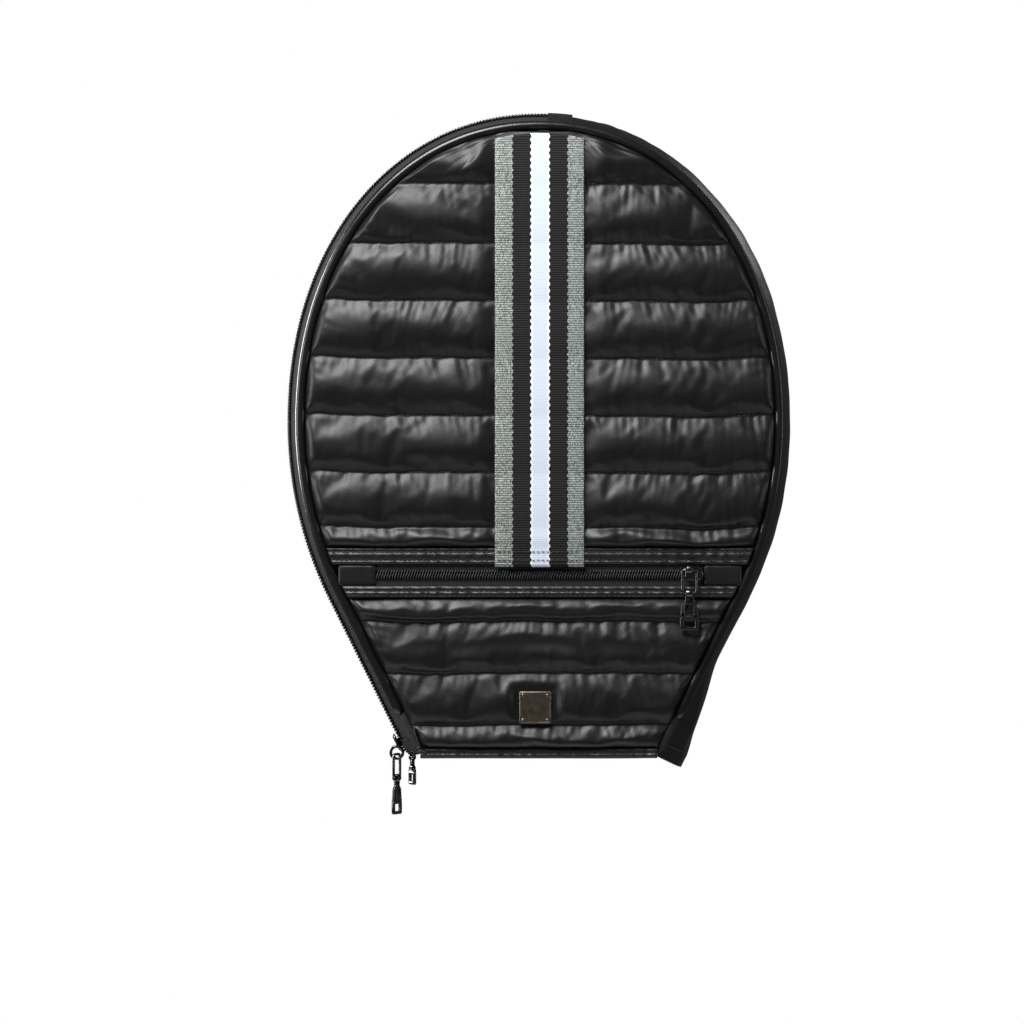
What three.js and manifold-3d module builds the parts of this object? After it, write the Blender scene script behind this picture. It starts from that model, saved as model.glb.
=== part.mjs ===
// A racket backpack: a quilted racket cover with a zipped front that folds open, a zipped front
// pocket, a woven stripe, a riveted badge and two shoulder straps on its back.
// Millimetres, +Z up, front facing -Y. The bag is drawn round the widest line of its rim and then
// moved so that the origin is where a hook bears under the crown of the hang loop.
import * as THREE from "three";
import { mergeVertices } from "three/addons/utils/BufferGeometryUtils.js";
import Module from "manifold-3d";

const wasm = await Module();
wasm.setup();

// ---------------------------------------------------------------- driving dimensions
const RIM_HALF_WIDTH = 162; // half width at the widest line, over the zip coil
const RIM_CROWN = 198.5; // from the widest line up to the top of the rim
const CROWN_FULLNESS = 0.95; // 1 would make the upper rim an ellipse, less makes it fuller
const RIM_DROP = 215.7; // from the widest line down to the mouth's hem
const SIDE_RADIUS = 256; // the arc below the widest line
const TAPER = Math.atan(0.5); // the straight sides lean in by this much
const GUSSET_EDGE = 22.6; // half depth of the gusset between its two pipings
const GUSSET_CROWN = 7.2; // how far the gusset stands out past its own edges
const CLOTH = 1.2; // a layer of shell fabric with its backing
const TAPE = 0.8; // zip tape
const GAP = 0.4; // between neighbouring pieces

const PIPING_RADIUS = 3;
const PIPING_INSET = 8.3; // piping's centre, in from the rim
const PIPING_DEPTH = 26; // piping's centre, from the middle of the gusset
const PANEL_INSET = PIPING_INSET + PIPING_RADIUS + 0.7;
const PANEL_INNER = 25; // inner face of a quilted panel, from the middle of the gusset
const PANEL_OUTER = 32; // outer face of a quilted panel
const LINING_INNER = 22;
const POCKET_BAG_INNER = 23.2;
const HEM = 6; // height of the hem round the mouth

const ZIP_CENTRE = -9; // depth of the cover zip's middle
const COIL_SLOT = 0.6; // half the slot between the two coils
const COIL_WIDTH = 2;
const COIL_PROUD = 1.1; // coil standing out from its tape
const ZIP_BOTTOM = -207.5; // where the cover zip ends above the hem

const FOLD_TOP = new THREE.Vector2(4, RIM_CROWN - PANEL_INSET);
const FOLD_BOTTOM = new THREE.Vector2(73, -RIM_DROP);
const FOLD_GAP = 0.4; // each side of the fold line

const STRIPE_HALF_WIDTH = 28.2;
const STRIPE_BOTTOM = -92;
const STRIPE_THICKNESS = 1.2;
const POCKET_TOP = -81.4; // top of the upper welt
const POCKET_ZIP = -97.8; // height of the pocket zip's middle
const POCKET_ZIP_HALF = 105.5; // half length of coil between its end tabs
const POCKET_BOTTOM = -115;
const WELT_OUTER = 30.6;
const POCKET_COIL_OUTER = 30.2;
const POCKET_TAPE_OUTER = 28.4;

const BADGE_SIDE = 20.6;
const BADGE_CENTRE = new THREE.Vector2(-3, -182.7);
const BADGE_THICKNESS = 1.2;
const RIVET_INSET = 2.4;

const SLIDER_LENGTH = 12;
const WIRE = 1.8; // thickness of a pull's bail
const BAIL_WIDTH = 11;
const BAIL_DROP = 15.2; // between the centres of the bail's two bars
const TAB_LENGTH = 23.5;
const END_RING_DEPTH = 0.6;

const STRAP_TOP = 128; // where the shoulder pads leave the yoke
const STRAP_HALF_GAP = 36; // from the middle to each pad's centre at the top
const STRAP_LEAN = THREE.MathUtils.degToRad(4);
const PAD_WIDTH = 48;
const PAD_THICKNESS = 8;
const WEBBING_WIDTH = 25;
const WEBBING = 1.6;
const YOKE_TOP = 168;
const YOKE_OUTER = 33.8;
const LOOP_TILT = THREE.MathUtils.degToRad(40);
const LOOP_HEIGHT = 36;
const LOOP_HALF_WIDTH = 20;
const LOOP_WEBBING = 2;
const LOOP_WEBBING_WIDTH = 16;
const HOOK = new THREE.Vector3(0, 62, 184); // where a hook bears, under the loop's crown

// ---------------------------------------------------------------- materials
const nylon = { color: 0x121314, roughness: 0.34, metalness: 0 };
const piping = { color: 0x17181a, roughness: 0.45, metalness: 0 };
const coilPlastic = { color: 0x101112, roughness: 0.4, metalness: 0 };
const stripeCloth = { color: 0xdfe6f2, roughness: 0.8, metalness: 0 };
const liningCloth = { color: 0x2b2d30, roughness: 0.8, metalness: 0 };
const webbingCloth = { color: 0x18191a, roughness: 0.85, metalness: 0 };
const gunmetal = { color: 0x5c5750, roughness: 0.2, metalness: 1 };
const bronze = { color: 0x6d5f4f, roughness: 0.32, metalness: 1 };

const bag = new THREE.Group();

// ---------------------------------------------------------------- solids and cuts
// A closed geometry as a manifold solid.
function solid(geometry) {
  const bare = geometry.index ? geometry.toNonIndexed() : geometry.clone();
  bare.deleteAttribute("normal");
  bare.deleteAttribute("uv");
  const merged = mergeVertices(bare, 1e-4);
  return new wasm.Manifold(
    new wasm.Mesh({
      numProp: 3,
      vertProperties: merged.attributes.position.array,
      triVerts: new Uint32Array(merged.index.array),
    }),
  );
}

// A manifold solid as a three.js geometry with flat normals.
function geometryOf(made) {
  const mesh = made.getMesh();
  const indexed = new THREE.BufferGeometry();
  indexed.setAttribute("position", new THREE.BufferAttribute(mesh.vertProperties, 3));
  indexed.setIndex(new THREE.BufferAttribute(mesh.triVerts, 1));
  const flat = indexed.toNonIndexed();
  flat.computeVertexNormals();
  return flat;
}

// A box between two corners.
function block(low, high) {
  const size = high.map((value, i) => value - low[i]);
  const centre = high.map((value, i) => (value + low[i]) / 2);
  return new THREE.BoxGeometry(...size).translate(...centre);
}

const FAR = 400;
const between = (low, high) => solid(block([-FAR, -FAR, low], [FAR, FAR, high]));
const aboveHem = between(-RIM_DROP, FAR);
const foldAngle = Math.atan2(FOLD_BOTTOM.x - FOLD_TOP.x, FOLD_TOP.y - FOLD_BOTTOM.y);

// Everything on one side of the fold line: side -1 is the part that opens, side 1 stays put.
function foldSide(side) {
  const half = block([FOLD_GAP, -FAR, -2 * FAR], [2 * FAR, FAR, 2 * FAR]);
  if (side < 0) half.scale(-1, 1, 1).index.array.reverse();
  half.rotateY(-foldAngle);
  half.translate(FOLD_TOP.x, 0, FOLD_TOP.y);
  return solid(half);
}
const opening = foldSide(-1);
const staying = foldSide(1);

function add(name, material, made, parent = bag) {
  const geometry = made.isBufferGeometry ? made : geometryOf(made);
  const mesh = new THREE.Mesh(geometry, new THREE.MeshStandardMaterial(material));
  mesh.name = name;
  parent.add(mesh);
  return mesh;
}

// One sheet of cloth that the fold line crosses, as its opening part and its fixed part.
function addFolding(name, material, made) {
  add(name + "_flap", material, made.intersect(opening));
  add(name + "_fixed", material, made.intersect(staying));
}

// ---------------------------------------------------------------- the rim
// A point in from the rim by inset. Station 0 is the top, 1 the widest line, 2 the end of the side
// arc and 3 the hem; negative stations are the left side.
function rimPoint(station, inset) {
  const s = Math.abs(station);
  const side = Math.sign(station) || 1;
  let x, z, normalX, normalZ;
  if (s <= 1) {
    const angle = (Math.PI / 2) * (1 - s);
    const across = Math.max(Math.cos(angle), 0);
    const up = Math.max(Math.sin(angle), 0);
    x = RIM_HALF_WIDTH * across ** CROWN_FULLNESS;
    z = RIM_CROWN * up ** CROWN_FULLNESS;
    normalX = across ** (2 - CROWN_FULLNESS) / RIM_HALF_WIDTH;
    normalZ = up ** (2 - CROWN_FULLNESS) / RIM_CROWN;
  } else {
    const lean = TAPER * Math.min(s - 1, 1);
    normalX = Math.cos(lean);
    normalZ = -Math.sin(lean);
    x = RIM_HALF_WIDTH - SIDE_RADIUS + SIDE_RADIUS * normalX;
    z = SIDE_RADIUS * normalZ;
    if (s > 2) {
      const along = ((s - 2) * (RIM_DROP - SIDE_RADIUS * Math.sin(TAPER))) / Math.cos(TAPER);
      x -= along * Math.sin(TAPER);
      z -= along * Math.cos(TAPER);
    }
  }
  const length = Math.hypot(normalX, normalZ);
  x -= (inset * normalX) / length;
  z -= (inset * normalZ) / length;
  return new THREE.Vector2(side * x, z);
}

class Rim extends THREE.Curve {
  constructor(from, to) {
    super();
    this.from = from;
    this.to = to;
  }
  getPoint(u, target = new THREE.Vector3()) {
    const p = rimPoint(THREE.MathUtils.lerp(this.from, this.to, u), 0);
    return target.set(p.x, 0, p.y);
  }
}

// The gusset's bulge: how far in from the rim its outer face is at a depth.
const bulge = (depth) => GUSSET_CROWN * (depth / GUSSET_EDGE) ** 2;

// A closed profile of [depth, inset] points carried round the rim from one station to another.
// Going from right to left over the top, an extruded shape's x points forward and its y outward.
function carried(profile, from, to, steps) {
  const shape = new THREE.Shape(profile.map(([depth, inset]) => new THREE.Vector2(-depth, -inset)));
  const geometry = new THREE.ExtrudeGeometry(shape, {
    extrudePath: new Rim(from, to),
    steps,
    bevelEnabled: false,
  });
  return solid(geometry);
}

// A band of cloth that follows the gusset's bulge between two depths.
function gussetBand(front, back, lift, thickness) {
  const depths = [0, 1, 2, 3].map((i) => THREE.MathUtils.lerp(front, back, i / 3));
  const outer = depths.map((depth) => [depth, bulge(depth) - lift]);
  const inner = depths.map((depth) => [depth, bulge(depth) + thickness]).reverse();
  return [...outer, ...inner];
}

// The outline inside the rim as a flat shape, drawn in X and Z.
function panelShape(inset) {
  const points = [];
  const stations = [3.3, 2.5, 2, 1.75, 1.5, 1.25, 1];
  for (let i = 1; i < 12; i++) stations.push(1 - i / 12);
  for (const s of stations) points.push(rimPoint(s, inset));
  points.push(rimPoint(0, inset));
  for (const s of stations.slice().reverse()) points.push(rimPoint(-s, inset));
  return new THREE.Shape(points);
}

// A shape drawn in X and Z, as thick as the distance between two depths.
function slab(shape, back, front) {
  const geometry = new THREE.ExtrudeGeometry(shape, { depth: back - front, bevelEnabled: false });
  return geometry.rotateX(Math.PI / 2).translate(0, back, 0);
}

const frontSlab = (inset, inner, outer) =>
  solid(slab(panelShape(inset), -inner, -outer)).intersect(aboveHem);
const backSlab = (inset, inner, outer) =>
  solid(slab(panelShape(inset), outer, inner)).intersect(aboveHem);

// ---------------------------------------------------------------- front cover
function frontCover() {
  const quilt = frontSlab(PANEL_INSET, PANEL_INNER, PANEL_OUTER);
  addFolding("quilt_upper", nylon, quilt.intersect(between(POCKET_TOP + GAP, FAR)));
  const lower = between(-RIM_DROP + HEM + GAP, POCKET_BOTTOM - GAP);
  addFolding("quilt_lower", nylon, quilt.intersect(lower));
  addFolding("front_lining", liningCloth, frontSlab(PANEL_INSET, LINING_INNER, LINING_INNER + 0.9));

  const hem = frontSlab(PANEL_INSET, PANEL_INNER, PANEL_OUTER - 2);
  add("front_hem", nylon, hem.intersect(between(-FAR, -RIM_DROP + HEM)).intersect(opening));

  const stripe = solid(
    block(
      [-STRIPE_HALF_WIDTH, -PANEL_OUTER - STRIPE_THICKNESS, STRIPE_BOTTOM],
      [STRIPE_HALF_WIDTH, -PANEL_OUTER, FAR],
    ),
  );
  addFolding("stripe", stripeCloth, stripe.intersect(frontSlab(PANEL_INSET, 0, FAR / 2)));
}

// ---------------------------------------------------------------- front pocket
function frontPocket() {
  const tapeTop = POCKET_ZIP + 6.6;
  const tapeBottom = POCKET_ZIP - 7.2;
  const welt = frontSlab(PANEL_INSET, PANEL_INNER, WELT_OUTER);
  addFolding("pocket_welt_upper", nylon, welt.intersect(between(tapeTop + GAP, POCKET_TOP)));
  addFolding("pocket_welt_lower", nylon, welt.intersect(between(POCKET_BOTTOM, tapeBottom - GAP)));

  // each half of the zip: a tape with the coil sewn along its edge
  function zipHalf(name, edge, side) {
    const slot = POCKET_ZIP + side * COIL_SLOT;
    const coil = slot + side * COIL_WIDTH;
    const [coilLow, coilHigh] = [slot, coil].sort((a, b) => a - b);
    const [tapeLow, tapeHigh] = [coil - side * 0.3, edge].sort((a, b) => a - b);
    const half = POCKET_ZIP_HALF - GAP;
    const coilBlock = block([-half, -POCKET_COIL_OUTER, coilLow], [half, -POCKET_TAPE_OUTER + 1.4, coilHigh]);
    const tapeBlock = block([-half, -POCKET_TAPE_OUTER, tapeLow], [half, -POCKET_TAPE_OUTER + TAPE, tapeHigh]);
    addFolding(name, coilPlastic, solid(coilBlock).add(solid(tapeBlock)));
  }
  zipHalf("pocket_zip_upper", tapeTop, 1);
  zipHalf("pocket_zip_lower", tapeBottom, -1);

  // cloth tabs that close the two ends of the zip
  for (const side of [-1, 1]) {
    const ends = [side * POCKET_ZIP_HALF, side * FAR].sort((a, b) => a - b);
    const tab = solid(block([ends[0], -FAR, tapeBottom], [ends[1], FAR, tapeTop]));
    const cloth = frontSlab(PANEL_INSET, PANEL_INNER, WELT_OUTER - 1).intersect(tab);
    add(side < 0 ? "pocket_end_tab_left" : "pocket_end_tab_right", nylon, cloth);
  }

  const bagBlock = block([-98, -POCKET_BAG_INNER - 1.4, -200], [98, -POCKET_BAG_INNER, tapeTop]);
  const pocketBag = solid(bagBlock).intersect(frontSlab(PANEL_INSET + 4, 0, FAR / 2));
  addFolding("pocket_bag", liningCloth, pocketBag);
}

// ---------------------------------------------------------------- badge
function badge() {
  const half = BADGE_SIDE / 2;
  const plate = new THREE.Shape();
  plate.moveTo(-half, -half).lineTo(half, -half).lineTo(half, half).lineTo(-half, half);
  const corner = half - RIVET_INSET;
  const corners = [
    [-corner, -corner],
    [corner, -corner],
    [corner, corner],
    [-corner, corner],
  ];
  for (const [x, z] of corners) {
    plate.holes.push(new THREE.Path().absarc(x, z, 0.9, 0, 2 * Math.PI, true));
  }
  const face = -PANEL_OUTER - 0.2;
  const sheet = new THREE.ExtrudeGeometry(plate, {
    depth: BADGE_THICKNESS,
    bevelEnabled: false,
    curveSegments: 8,
  });
  sheet.rotateX(Math.PI / 2).translate(0, face, 0);
  add("badge_plate", bronze, sheet).position.set(BADGE_CENTRE.x, 0, BADGE_CENTRE.y);

  const head = [
    [0, 0.1],
    [0.65, 0.1],
    [0.65, BADGE_THICKNESS + 0.15],
    [1.25, BADGE_THICKNESS + 0.15],
    [0.9, BADGE_THICKNESS + 0.65],
    [0, BADGE_THICKNESS + 0.85],
  ].map(([r, y]) => new THREE.Vector2(r, y));
  corners.forEach(([x, z], i) => {
    const rivet = new THREE.LatheGeometry(head, 8).rotateX(Math.PI);
    const mesh = add("badge_rivet_" + (i + 1), bronze, rivet);
    mesh.position.set(BADGE_CENTRE.x + x, face, BADGE_CENTRE.y + z);
  });
}

// ---------------------------------------------------------------- piping, gusset and cover zip
function pipingRound(depth, from, to, steps) {
  const ring = [];
  for (let i = 0; i < 8; i++) {
    const angle = ((i + 0.5) * Math.PI) / 4;
    ring.push([depth + PIPING_RADIUS * Math.cos(angle), PIPING_INSET + PIPING_RADIUS * Math.sin(angle)]);
  }
  return carried(ring, from, to, steps);
}

function rims() {
  const pipingEnd = between(-RIM_DROP + HEM + GAP, FAR);
  const front = pipingRound(-PIPING_DEPTH, 3.3, -3.3, 46).intersect(pipingEnd);
  addFolding("front_piping", piping, front);
  add("back_piping", piping, pipingRound(PIPING_DEPTH, 3.3, -3.3, 46).intersect(pipingEnd));

  const rightEnd = 0.012; // just right of the top
  const gusset = carried(gussetBand(-GUSSET_EDGE, GUSSET_EDGE, 0, CLOTH), 3.3, rightEnd, 24);
  add("side_gusset", nylon, gusset.intersect(between(-RIM_DROP + HEM + GAP, FAR)));

  const coilBack = ZIP_CENTRE + COIL_SLOT + COIL_WIDTH;
  const coilFront = ZIP_CENTRE - COIL_SLOT - COIL_WIDTH;
  const tapeBack = coilBack + 11;
  const left = (front, back, lift, thickness) =>
    carried(gussetBand(front, back, lift, thickness), 0, -3.3, 24);
  const zipEnd = between(ZIP_BOTTOM, FAR);
  const frontTape = left(-GUSSET_EDGE, coilFront + 0.3, 0, TAPE);
  const frontCoil = left(coilFront, ZIP_CENTRE - COIL_SLOT, COIL_PROUD, 1.5);
  add("cover_zip_front", coilPlastic, frontTape.add(frontCoil).intersect(zipEnd));
  const backTape = left(coilBack - 0.3, tapeBack, 0, TAPE);
  const backCoil = left(ZIP_CENTRE + COIL_SLOT, coilBack, COIL_PROUD, 1.5);
  add("cover_zip_back", coilPlastic, backTape.add(backCoil).intersect(zipEnd));

  const strip = left(tapeBack + GAP, GUSSET_EDGE, 0, CLOTH);
  add("left_gusset", nylon, strip.intersect(between(-RIM_DROP + HEM + GAP, FAR)));

  const hemBand = between(-RIM_DROP, -RIM_DROP + HEM);
  const rightHem = carried(gussetBand(-GUSSET_EDGE, GUSSET_EDGE, 0.4, 1.8), 3.3, 2.6, 2);
  add("gusset_hem_right", nylon, rightHem.intersect(hemBand));
  const leftHem = carried(gussetBand(tapeBack + GAP, GUSSET_EDGE, 0.4, 1.8), -2.6, -3.3, 2);
  add("gusset_hem_left", nylon, leftHem.intersect(hemBand));

  // the cloth patch over the top end of the cover zip
  const patch = gussetBand(-20.5, 5, 1.5, -0.3);
  add("zip_top_patch", nylon, carried(patch, 0.055, rightEnd + 0.002, 2));
}

// ---------------------------------------------------------------- back
function back() {
  const panel = backSlab(PANEL_INSET, PANEL_INNER, PANEL_OUTER);
  add("back_panel", nylon, panel.intersect(between(-RIM_DROP + HEM + GAP, FAR)));
  add("back_lining", liningCloth, backSlab(PANEL_INSET, LINING_INNER, LINING_INNER + 0.9));
  const hem = backSlab(PANEL_INSET, PANEL_INNER, PANEL_OUTER - 2);
  add("back_hem", nylon, hem.intersect(between(-FAR, -RIM_DROP + HEM)));

  const yoke = block([-66, PANEL_OUTER + 0.2, STRAP_TOP - 4], [66, YOKE_OUTER, YOKE_TOP]);
  add("strap_yoke", nylon, yoke);
}

// The hang loop: an arch of webbing that leans back from the top of the yoke.
function hangLoop() {
  const arch = new THREE.Shape();
  const inner = LOOP_HALF_WIDTH - LOOP_WEBBING;
  const shoulder = LOOP_HEIGHT - LOOP_HALF_WIDTH;
  arch.moveTo(LOOP_HALF_WIDTH, 0);
  arch.lineTo(LOOP_HALF_WIDTH, shoulder);
  arch.absarc(0, shoulder, LOOP_HALF_WIDTH, 0, Math.PI, false);
  arch.lineTo(-LOOP_HALF_WIDTH, 0);
  arch.lineTo(-inner, 0);
  arch.lineTo(-inner, shoulder);
  arch.absarc(0, shoulder, inner, Math.PI, 0, true);
  arch.lineTo(inner, 0);
  const band = new THREE.ExtrudeGeometry(arch, {
    depth: LOOP_WEBBING_WIDTH,
    bevelEnabled: false,
    curveSegments: 8,
  });
  const tilted = new THREE.Group();
  tilted.rotation.x = Math.PI / 2 - LOOP_TILT;
  const crown = new THREE.Vector3(0, LOOP_HEIGHT - LOOP_WEBBING, LOOP_WEBBING_WIDTH / 2);
  tilted.position.copy(HOOK).sub(crown.applyEuler(tilted.rotation));
  bag.add(tilted);
  add("hang_loop", webbingCloth, band, tilted);
}

// ---------------------------------------------------------------- shoulder straps
// A strip of rectangular section carried along a curve that lies in the strap's own YZ plane.
function strapStrip(points, width, thickness, steps) {
  const path = new THREE.CatmullRomCurve3(points.map(([y, z]) => new THREE.Vector3(0, y, z)));
  const half = width / 2;
  const shape = new THREE.Shape();
  shape.moveTo(-half, -thickness / 2).lineTo(half, -thickness / 2);
  shape.lineTo(half, thickness / 2).lineTo(-half, thickness / 2);
  return new THREE.ExtrudeGeometry(shape, { extrudePath: path, steps, bevelEnabled: false });
}

// A rectangular metal ring with wire of square section, lying in XZ round its own centre.
function wireRing(width, height, wire) {
  const frame = new THREE.Shape();
  frame.moveTo(-width / 2, -height / 2).lineTo(width / 2, -height / 2);
  frame.lineTo(width / 2, height / 2).lineTo(-width / 2, height / 2);
  const hole = new THREE.Path();
  const x = width / 2 - wire;
  const z = height / 2 - wire;
  hole.moveTo(-x, -z).lineTo(-x, z).lineTo(x, z).lineTo(x, -z);
  frame.holes.push(hole);
  return slab(frame, wire / 2, -wire / 2);
}

// A band folded round a bar along X at the origin, with a flat tail; radii in the YZ plane.
function eye(width, innerRadius, outerRadius) {
  const round = new THREE.Shape().absarc(0, 0, outerRadius, 0, 2 * Math.PI, false);
  round.holes.push(new THREE.Path().absarc(0, 0, innerRadius, 0, 2 * Math.PI, true));
  const ring = new THREE.ExtrudeGeometry(round, {
    depth: width,
    bevelEnabled: false,
    curveSegments: 5,
  });
  return ring.rotateY(Math.PI / 2).translate(-width / 2, 0, 0);
}

function shoulderStrap(side) {
  const name = side < 0 ? "left" : "right";
  const strap = new THREE.Group();
  strap.position.set(side * STRAP_HALF_GAP, 0, STRAP_TOP);
  strap.rotation.y = -side * STRAP_LEAN;
  bag.add(strap);

  const padPath = [
    [39, 0],
    [50, -12],
    [63, -45],
    [68, -88],
    [65, -135],
    [58, -180],
    [51, -214],
  ];
  add("shoulder_pad_" + name, nylon, strapStrip(padPath, PAD_WIDTH, PAD_THICKNESS, 16), strap);

  // the webbing runs straight from the pad down to its ring
  const webTop = new THREE.Vector2(49.6, -218);
  const webBottom = new THREE.Vector2(37.5, -297);
  const run = [webTop, webBottom].map((p) => [p.x, p.y]);
  const webbing = solid(strapStrip(run, WEBBING_WIDTH, WEBBING, 1));
  const endEye = solid(eye(WEBBING_WIDTH, 2.1, 3.5).translate(0, webBottom.x, webBottom.y - 2.9));
  const barRoom = solid(
    new THREE.CylinderGeometry(2.1, 2.1, 40, 12).rotateZ(Math.PI / 2).translate(0, webBottom.x, webBottom.y - 2.9),
  );
  add("strap_webbing_" + name, webbingCloth, webbing.subtract(barRoom).add(endEye), strap);

  // a rectangular ring joins the webbing to a tab sewn to the back's lower edge
  const ringDrop = 15.6;
  const ring = add("strap_ring_" + name, gunmetal, wireRing(32, ringDrop + 2.6, 2.6), strap);
  ring.position.set(0, webBottom.x, webBottom.y - 2.9 - ringDrop / 2);
  const tabBar = new THREE.Vector2(webBottom.x, webBottom.y - 2.9 - ringDrop);
  const tabEye = solid(eye(WEBBING_WIDTH, 2.1, 3.5).translate(0, tabBar.x, tabBar.y));
  const tail = solid(
    block(
      [-WEBBING_WIDTH / 2, PANEL_OUTER + 0.2, tabBar.y - 4],
      [WEBBING_WIDTH / 2, PANEL_OUTER + 2.8, tabBar.y + 4],
    ),
  );
  add("strap_anchor_" + name, webbingCloth, tabEye.add(tail), strap);

  // the slide adjuster rides on the outside of the webbing
  const slope = Math.atan2(webTop.x - webBottom.x, webTop.y - webBottom.y);
  const adjuster = new THREE.Shape();
  adjuster.moveTo(-16, -10).lineTo(16, -10).lineTo(16, 10).lineTo(-16, 10);
  for (const z of [-7.4, 1.6]) {
    const slot = new THREE.Path();
    slot.moveTo(-13, z).lineTo(-13, z + 5.8).lineTo(13, z + 5.8).lineTo(13, z);
    adjuster.holes.push(slot);
  }
  const plate = add("strap_slide_" + name, gunmetal, slab(adjuster, 2.4, 0), strap);
  const outward = WEBBING / 2 + 0.4;
  const middle = webTop.clone().lerp(webBottom, 0.5);
  plate.position.set(0, middle.x + outward * Math.cos(slope), middle.y - outward * Math.sin(slope));
  plate.rotation.x = -slope;
}

// ---------------------------------------------------------------- zip sliders and pulls
// A slider's body. Its own x is the way it travels, -y faces out and z is across the zip.
// The coil fills y from -proud to coilBack; clear is the room the outer plate leaves over it.
function sliderBody(proud, clear, coilBack) {
  const half = SLIDER_LENGTH / 2;
  const outer = -proud - clear;
  const inner = coilBack + 0.4;
  const plate = solid(block([-half, outer - 2, -4.2], [half, outer, 4.2]));
  const under = solid(block([-half, inner, -3.8], [half, inner + 1.4, 3.8]));
  const post = solid(block([-2.5, outer - 1, -0.4], [2.5, inner + 1, 0.4]));
  return plate.add(post).add(under);
}

// A flat ring with its hole along the given axis, for the bail to hang in.
function lug(radius, hole, width) {
  const shape = new THREE.Shape().absarc(0, 0, radius, 0, 2 * Math.PI, false);
  shape.holes.push(new THREE.Path().absarc(0, 0, hole, 0, 2 * Math.PI, true));
  const ring = new THREE.ExtrudeGeometry(shape, {
    depth: width,
    bevelEnabled: false,
    curveSegments: 7,
  });
  return ring.translate(0, 0, -width / 2);
}

// A pull: a rectangular bail hanging from its pivot bar, and a tapered tab curled round its foot.
// Both hang down from the group's origin in its own XZ plane.
function pull(name, at, turn, width = BAIL_WIDTH, drop = BAIL_DROP, length = TAB_LENGTH) {
  const hanging = new THREE.Group();
  hanging.position.copy(at);
  hanging.rotation.z = turn;
  bag.add(hanging);
  const bail = wireRing(width, drop + WIRE, WIRE);
  add(name + "_bail", gunmetal, bail.translate(0, 0, -drop / 2), hanging);

  const outline = new THREE.Shape();
  outline.moveTo(-2.9, -1.8).lineTo(-2.9, -5).lineTo(-4.6, -7).lineTo(-6, -length);
  outline.lineTo(6, -length).lineTo(4.6, -7).lineTo(2.9, -5).lineTo(2.9, -1.8);
  const window = new THREE.Path();
  window.moveTo(-3.6, -length + 2).lineTo(-3.4, -length + 7);
  window.lineTo(3.4, -length + 7).lineTo(3.6, -length + 2);
  outline.holes.push(window);
  const curl = solid(eye(width - 2 * WIRE - 1.6, 1.4, 2.3));
  const tab = solid(slab(outline, WIRE / 2, -WIRE / 2)).add(curl);
  add(name + "_tab", gunmetal, tab.translate([0, 0, -drop]), hanging);
}

// The pocket's slider stands at the right end of its zip, with its lug's hole along the zip.
function pocketSlider() {
  const at = new THREE.Vector3(98.6, -POCKET_COIL_OUTER, POCKET_ZIP);
  const lugAt = new THREE.Vector3(-3, -4.7, 3.4);
  const body = sliderBody(0, 0.5, POCKET_COIL_OUTER - POCKET_TAPE_OUTER + 1.4);
  const ring = lug(2.6, 1.45, 4).rotateY(Math.PI / 2).translate(...lugAt);
  add("pocket_slider", gunmetal, body.add(solid(ring))).position.copy(at);
  pull("pocket", at.clone().add(lugAt), 0);
}

// The cover's slider stands at the lower end of its zip, with a lug and a pull on its outer face.
// A ring on a fold of tape holds a shorter pull on the inner face, behind the zip's end.
function coverSlider() {
  const foot = rimPoint(-2.895, 0);
  const travel = new THREE.Vector3(-Math.sin(TAPER), 0, Math.cos(TAPER));
  const inward = new THREE.Vector3(Math.cos(TAPER), 0, Math.sin(TAPER));
  const frame = new THREE.Matrix4().makeBasis(travel, inward, new THREE.Vector3(0, 1, 0));
  frame.setPosition(foot.x, ZIP_CENTRE, foot.y);
  const crown = bulge(ZIP_CENTRE);
  const outerLug = new THREE.Vector3(-5.6, -COIL_PROUD - 5.6 + crown, 0);
  const body = sliderBody(COIL_PROUD, 1.6, 2.5)
    .translate([0, crown, 0])
    .add(solid(lug(4.8, 2.8, 3.4).translate(outerLug.x, outerLug.y, 0)));
  const slider = new THREE.Group();
  slider.applyMatrix4(frame);
  bag.add(slider);
  add("cover_slider", gunmetal, body, slider);

  const ringAt = new THREE.Vector3(-4, 6.2, END_RING_DEPTH - ZIP_CENTRE);
  const fold = solid(block([-6, 1, ringAt.z - 2.8], [2, 1.9, ringAt.z + 2.8]));
  const ring = solid(lug(4.7, 2.9, 2.2).translate(...ringAt));
  add("cover_end_ring", gunmetal, fold.add(ring), slider);

  const below = new THREE.Vector3(0, 0, -1.1);
  pull("cover", outerLug.applyMatrix4(frame).add(below), THREE.MathUtils.degToRad(65));
  pull("end", ringAt.applyMatrix4(frame).add(below), THREE.MathUtils.degToRad(108), 8, 9, 17.8);
}

frontCover();
frontPocket();
badge();
rims();
back();
hangLoop();
for (const side of [-1, 1]) shoulderStrap(side);
pocketSlider();
coverSlider();

const model = new THREE.Group();
bag.position.copy(HOOK).negate();
model.add(bag);

export default model;
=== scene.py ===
"""A racket backpack: its quilted covers, piping, zips, pocket, stripe, badge and straps, built
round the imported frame. Sizes are in metres unless a name says mm. The shape functions work in
bag coordinates: millimetres, with z from the widest line of the rim and depth from the middle
of the gusset, negative towards the front."""

import math

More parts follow.
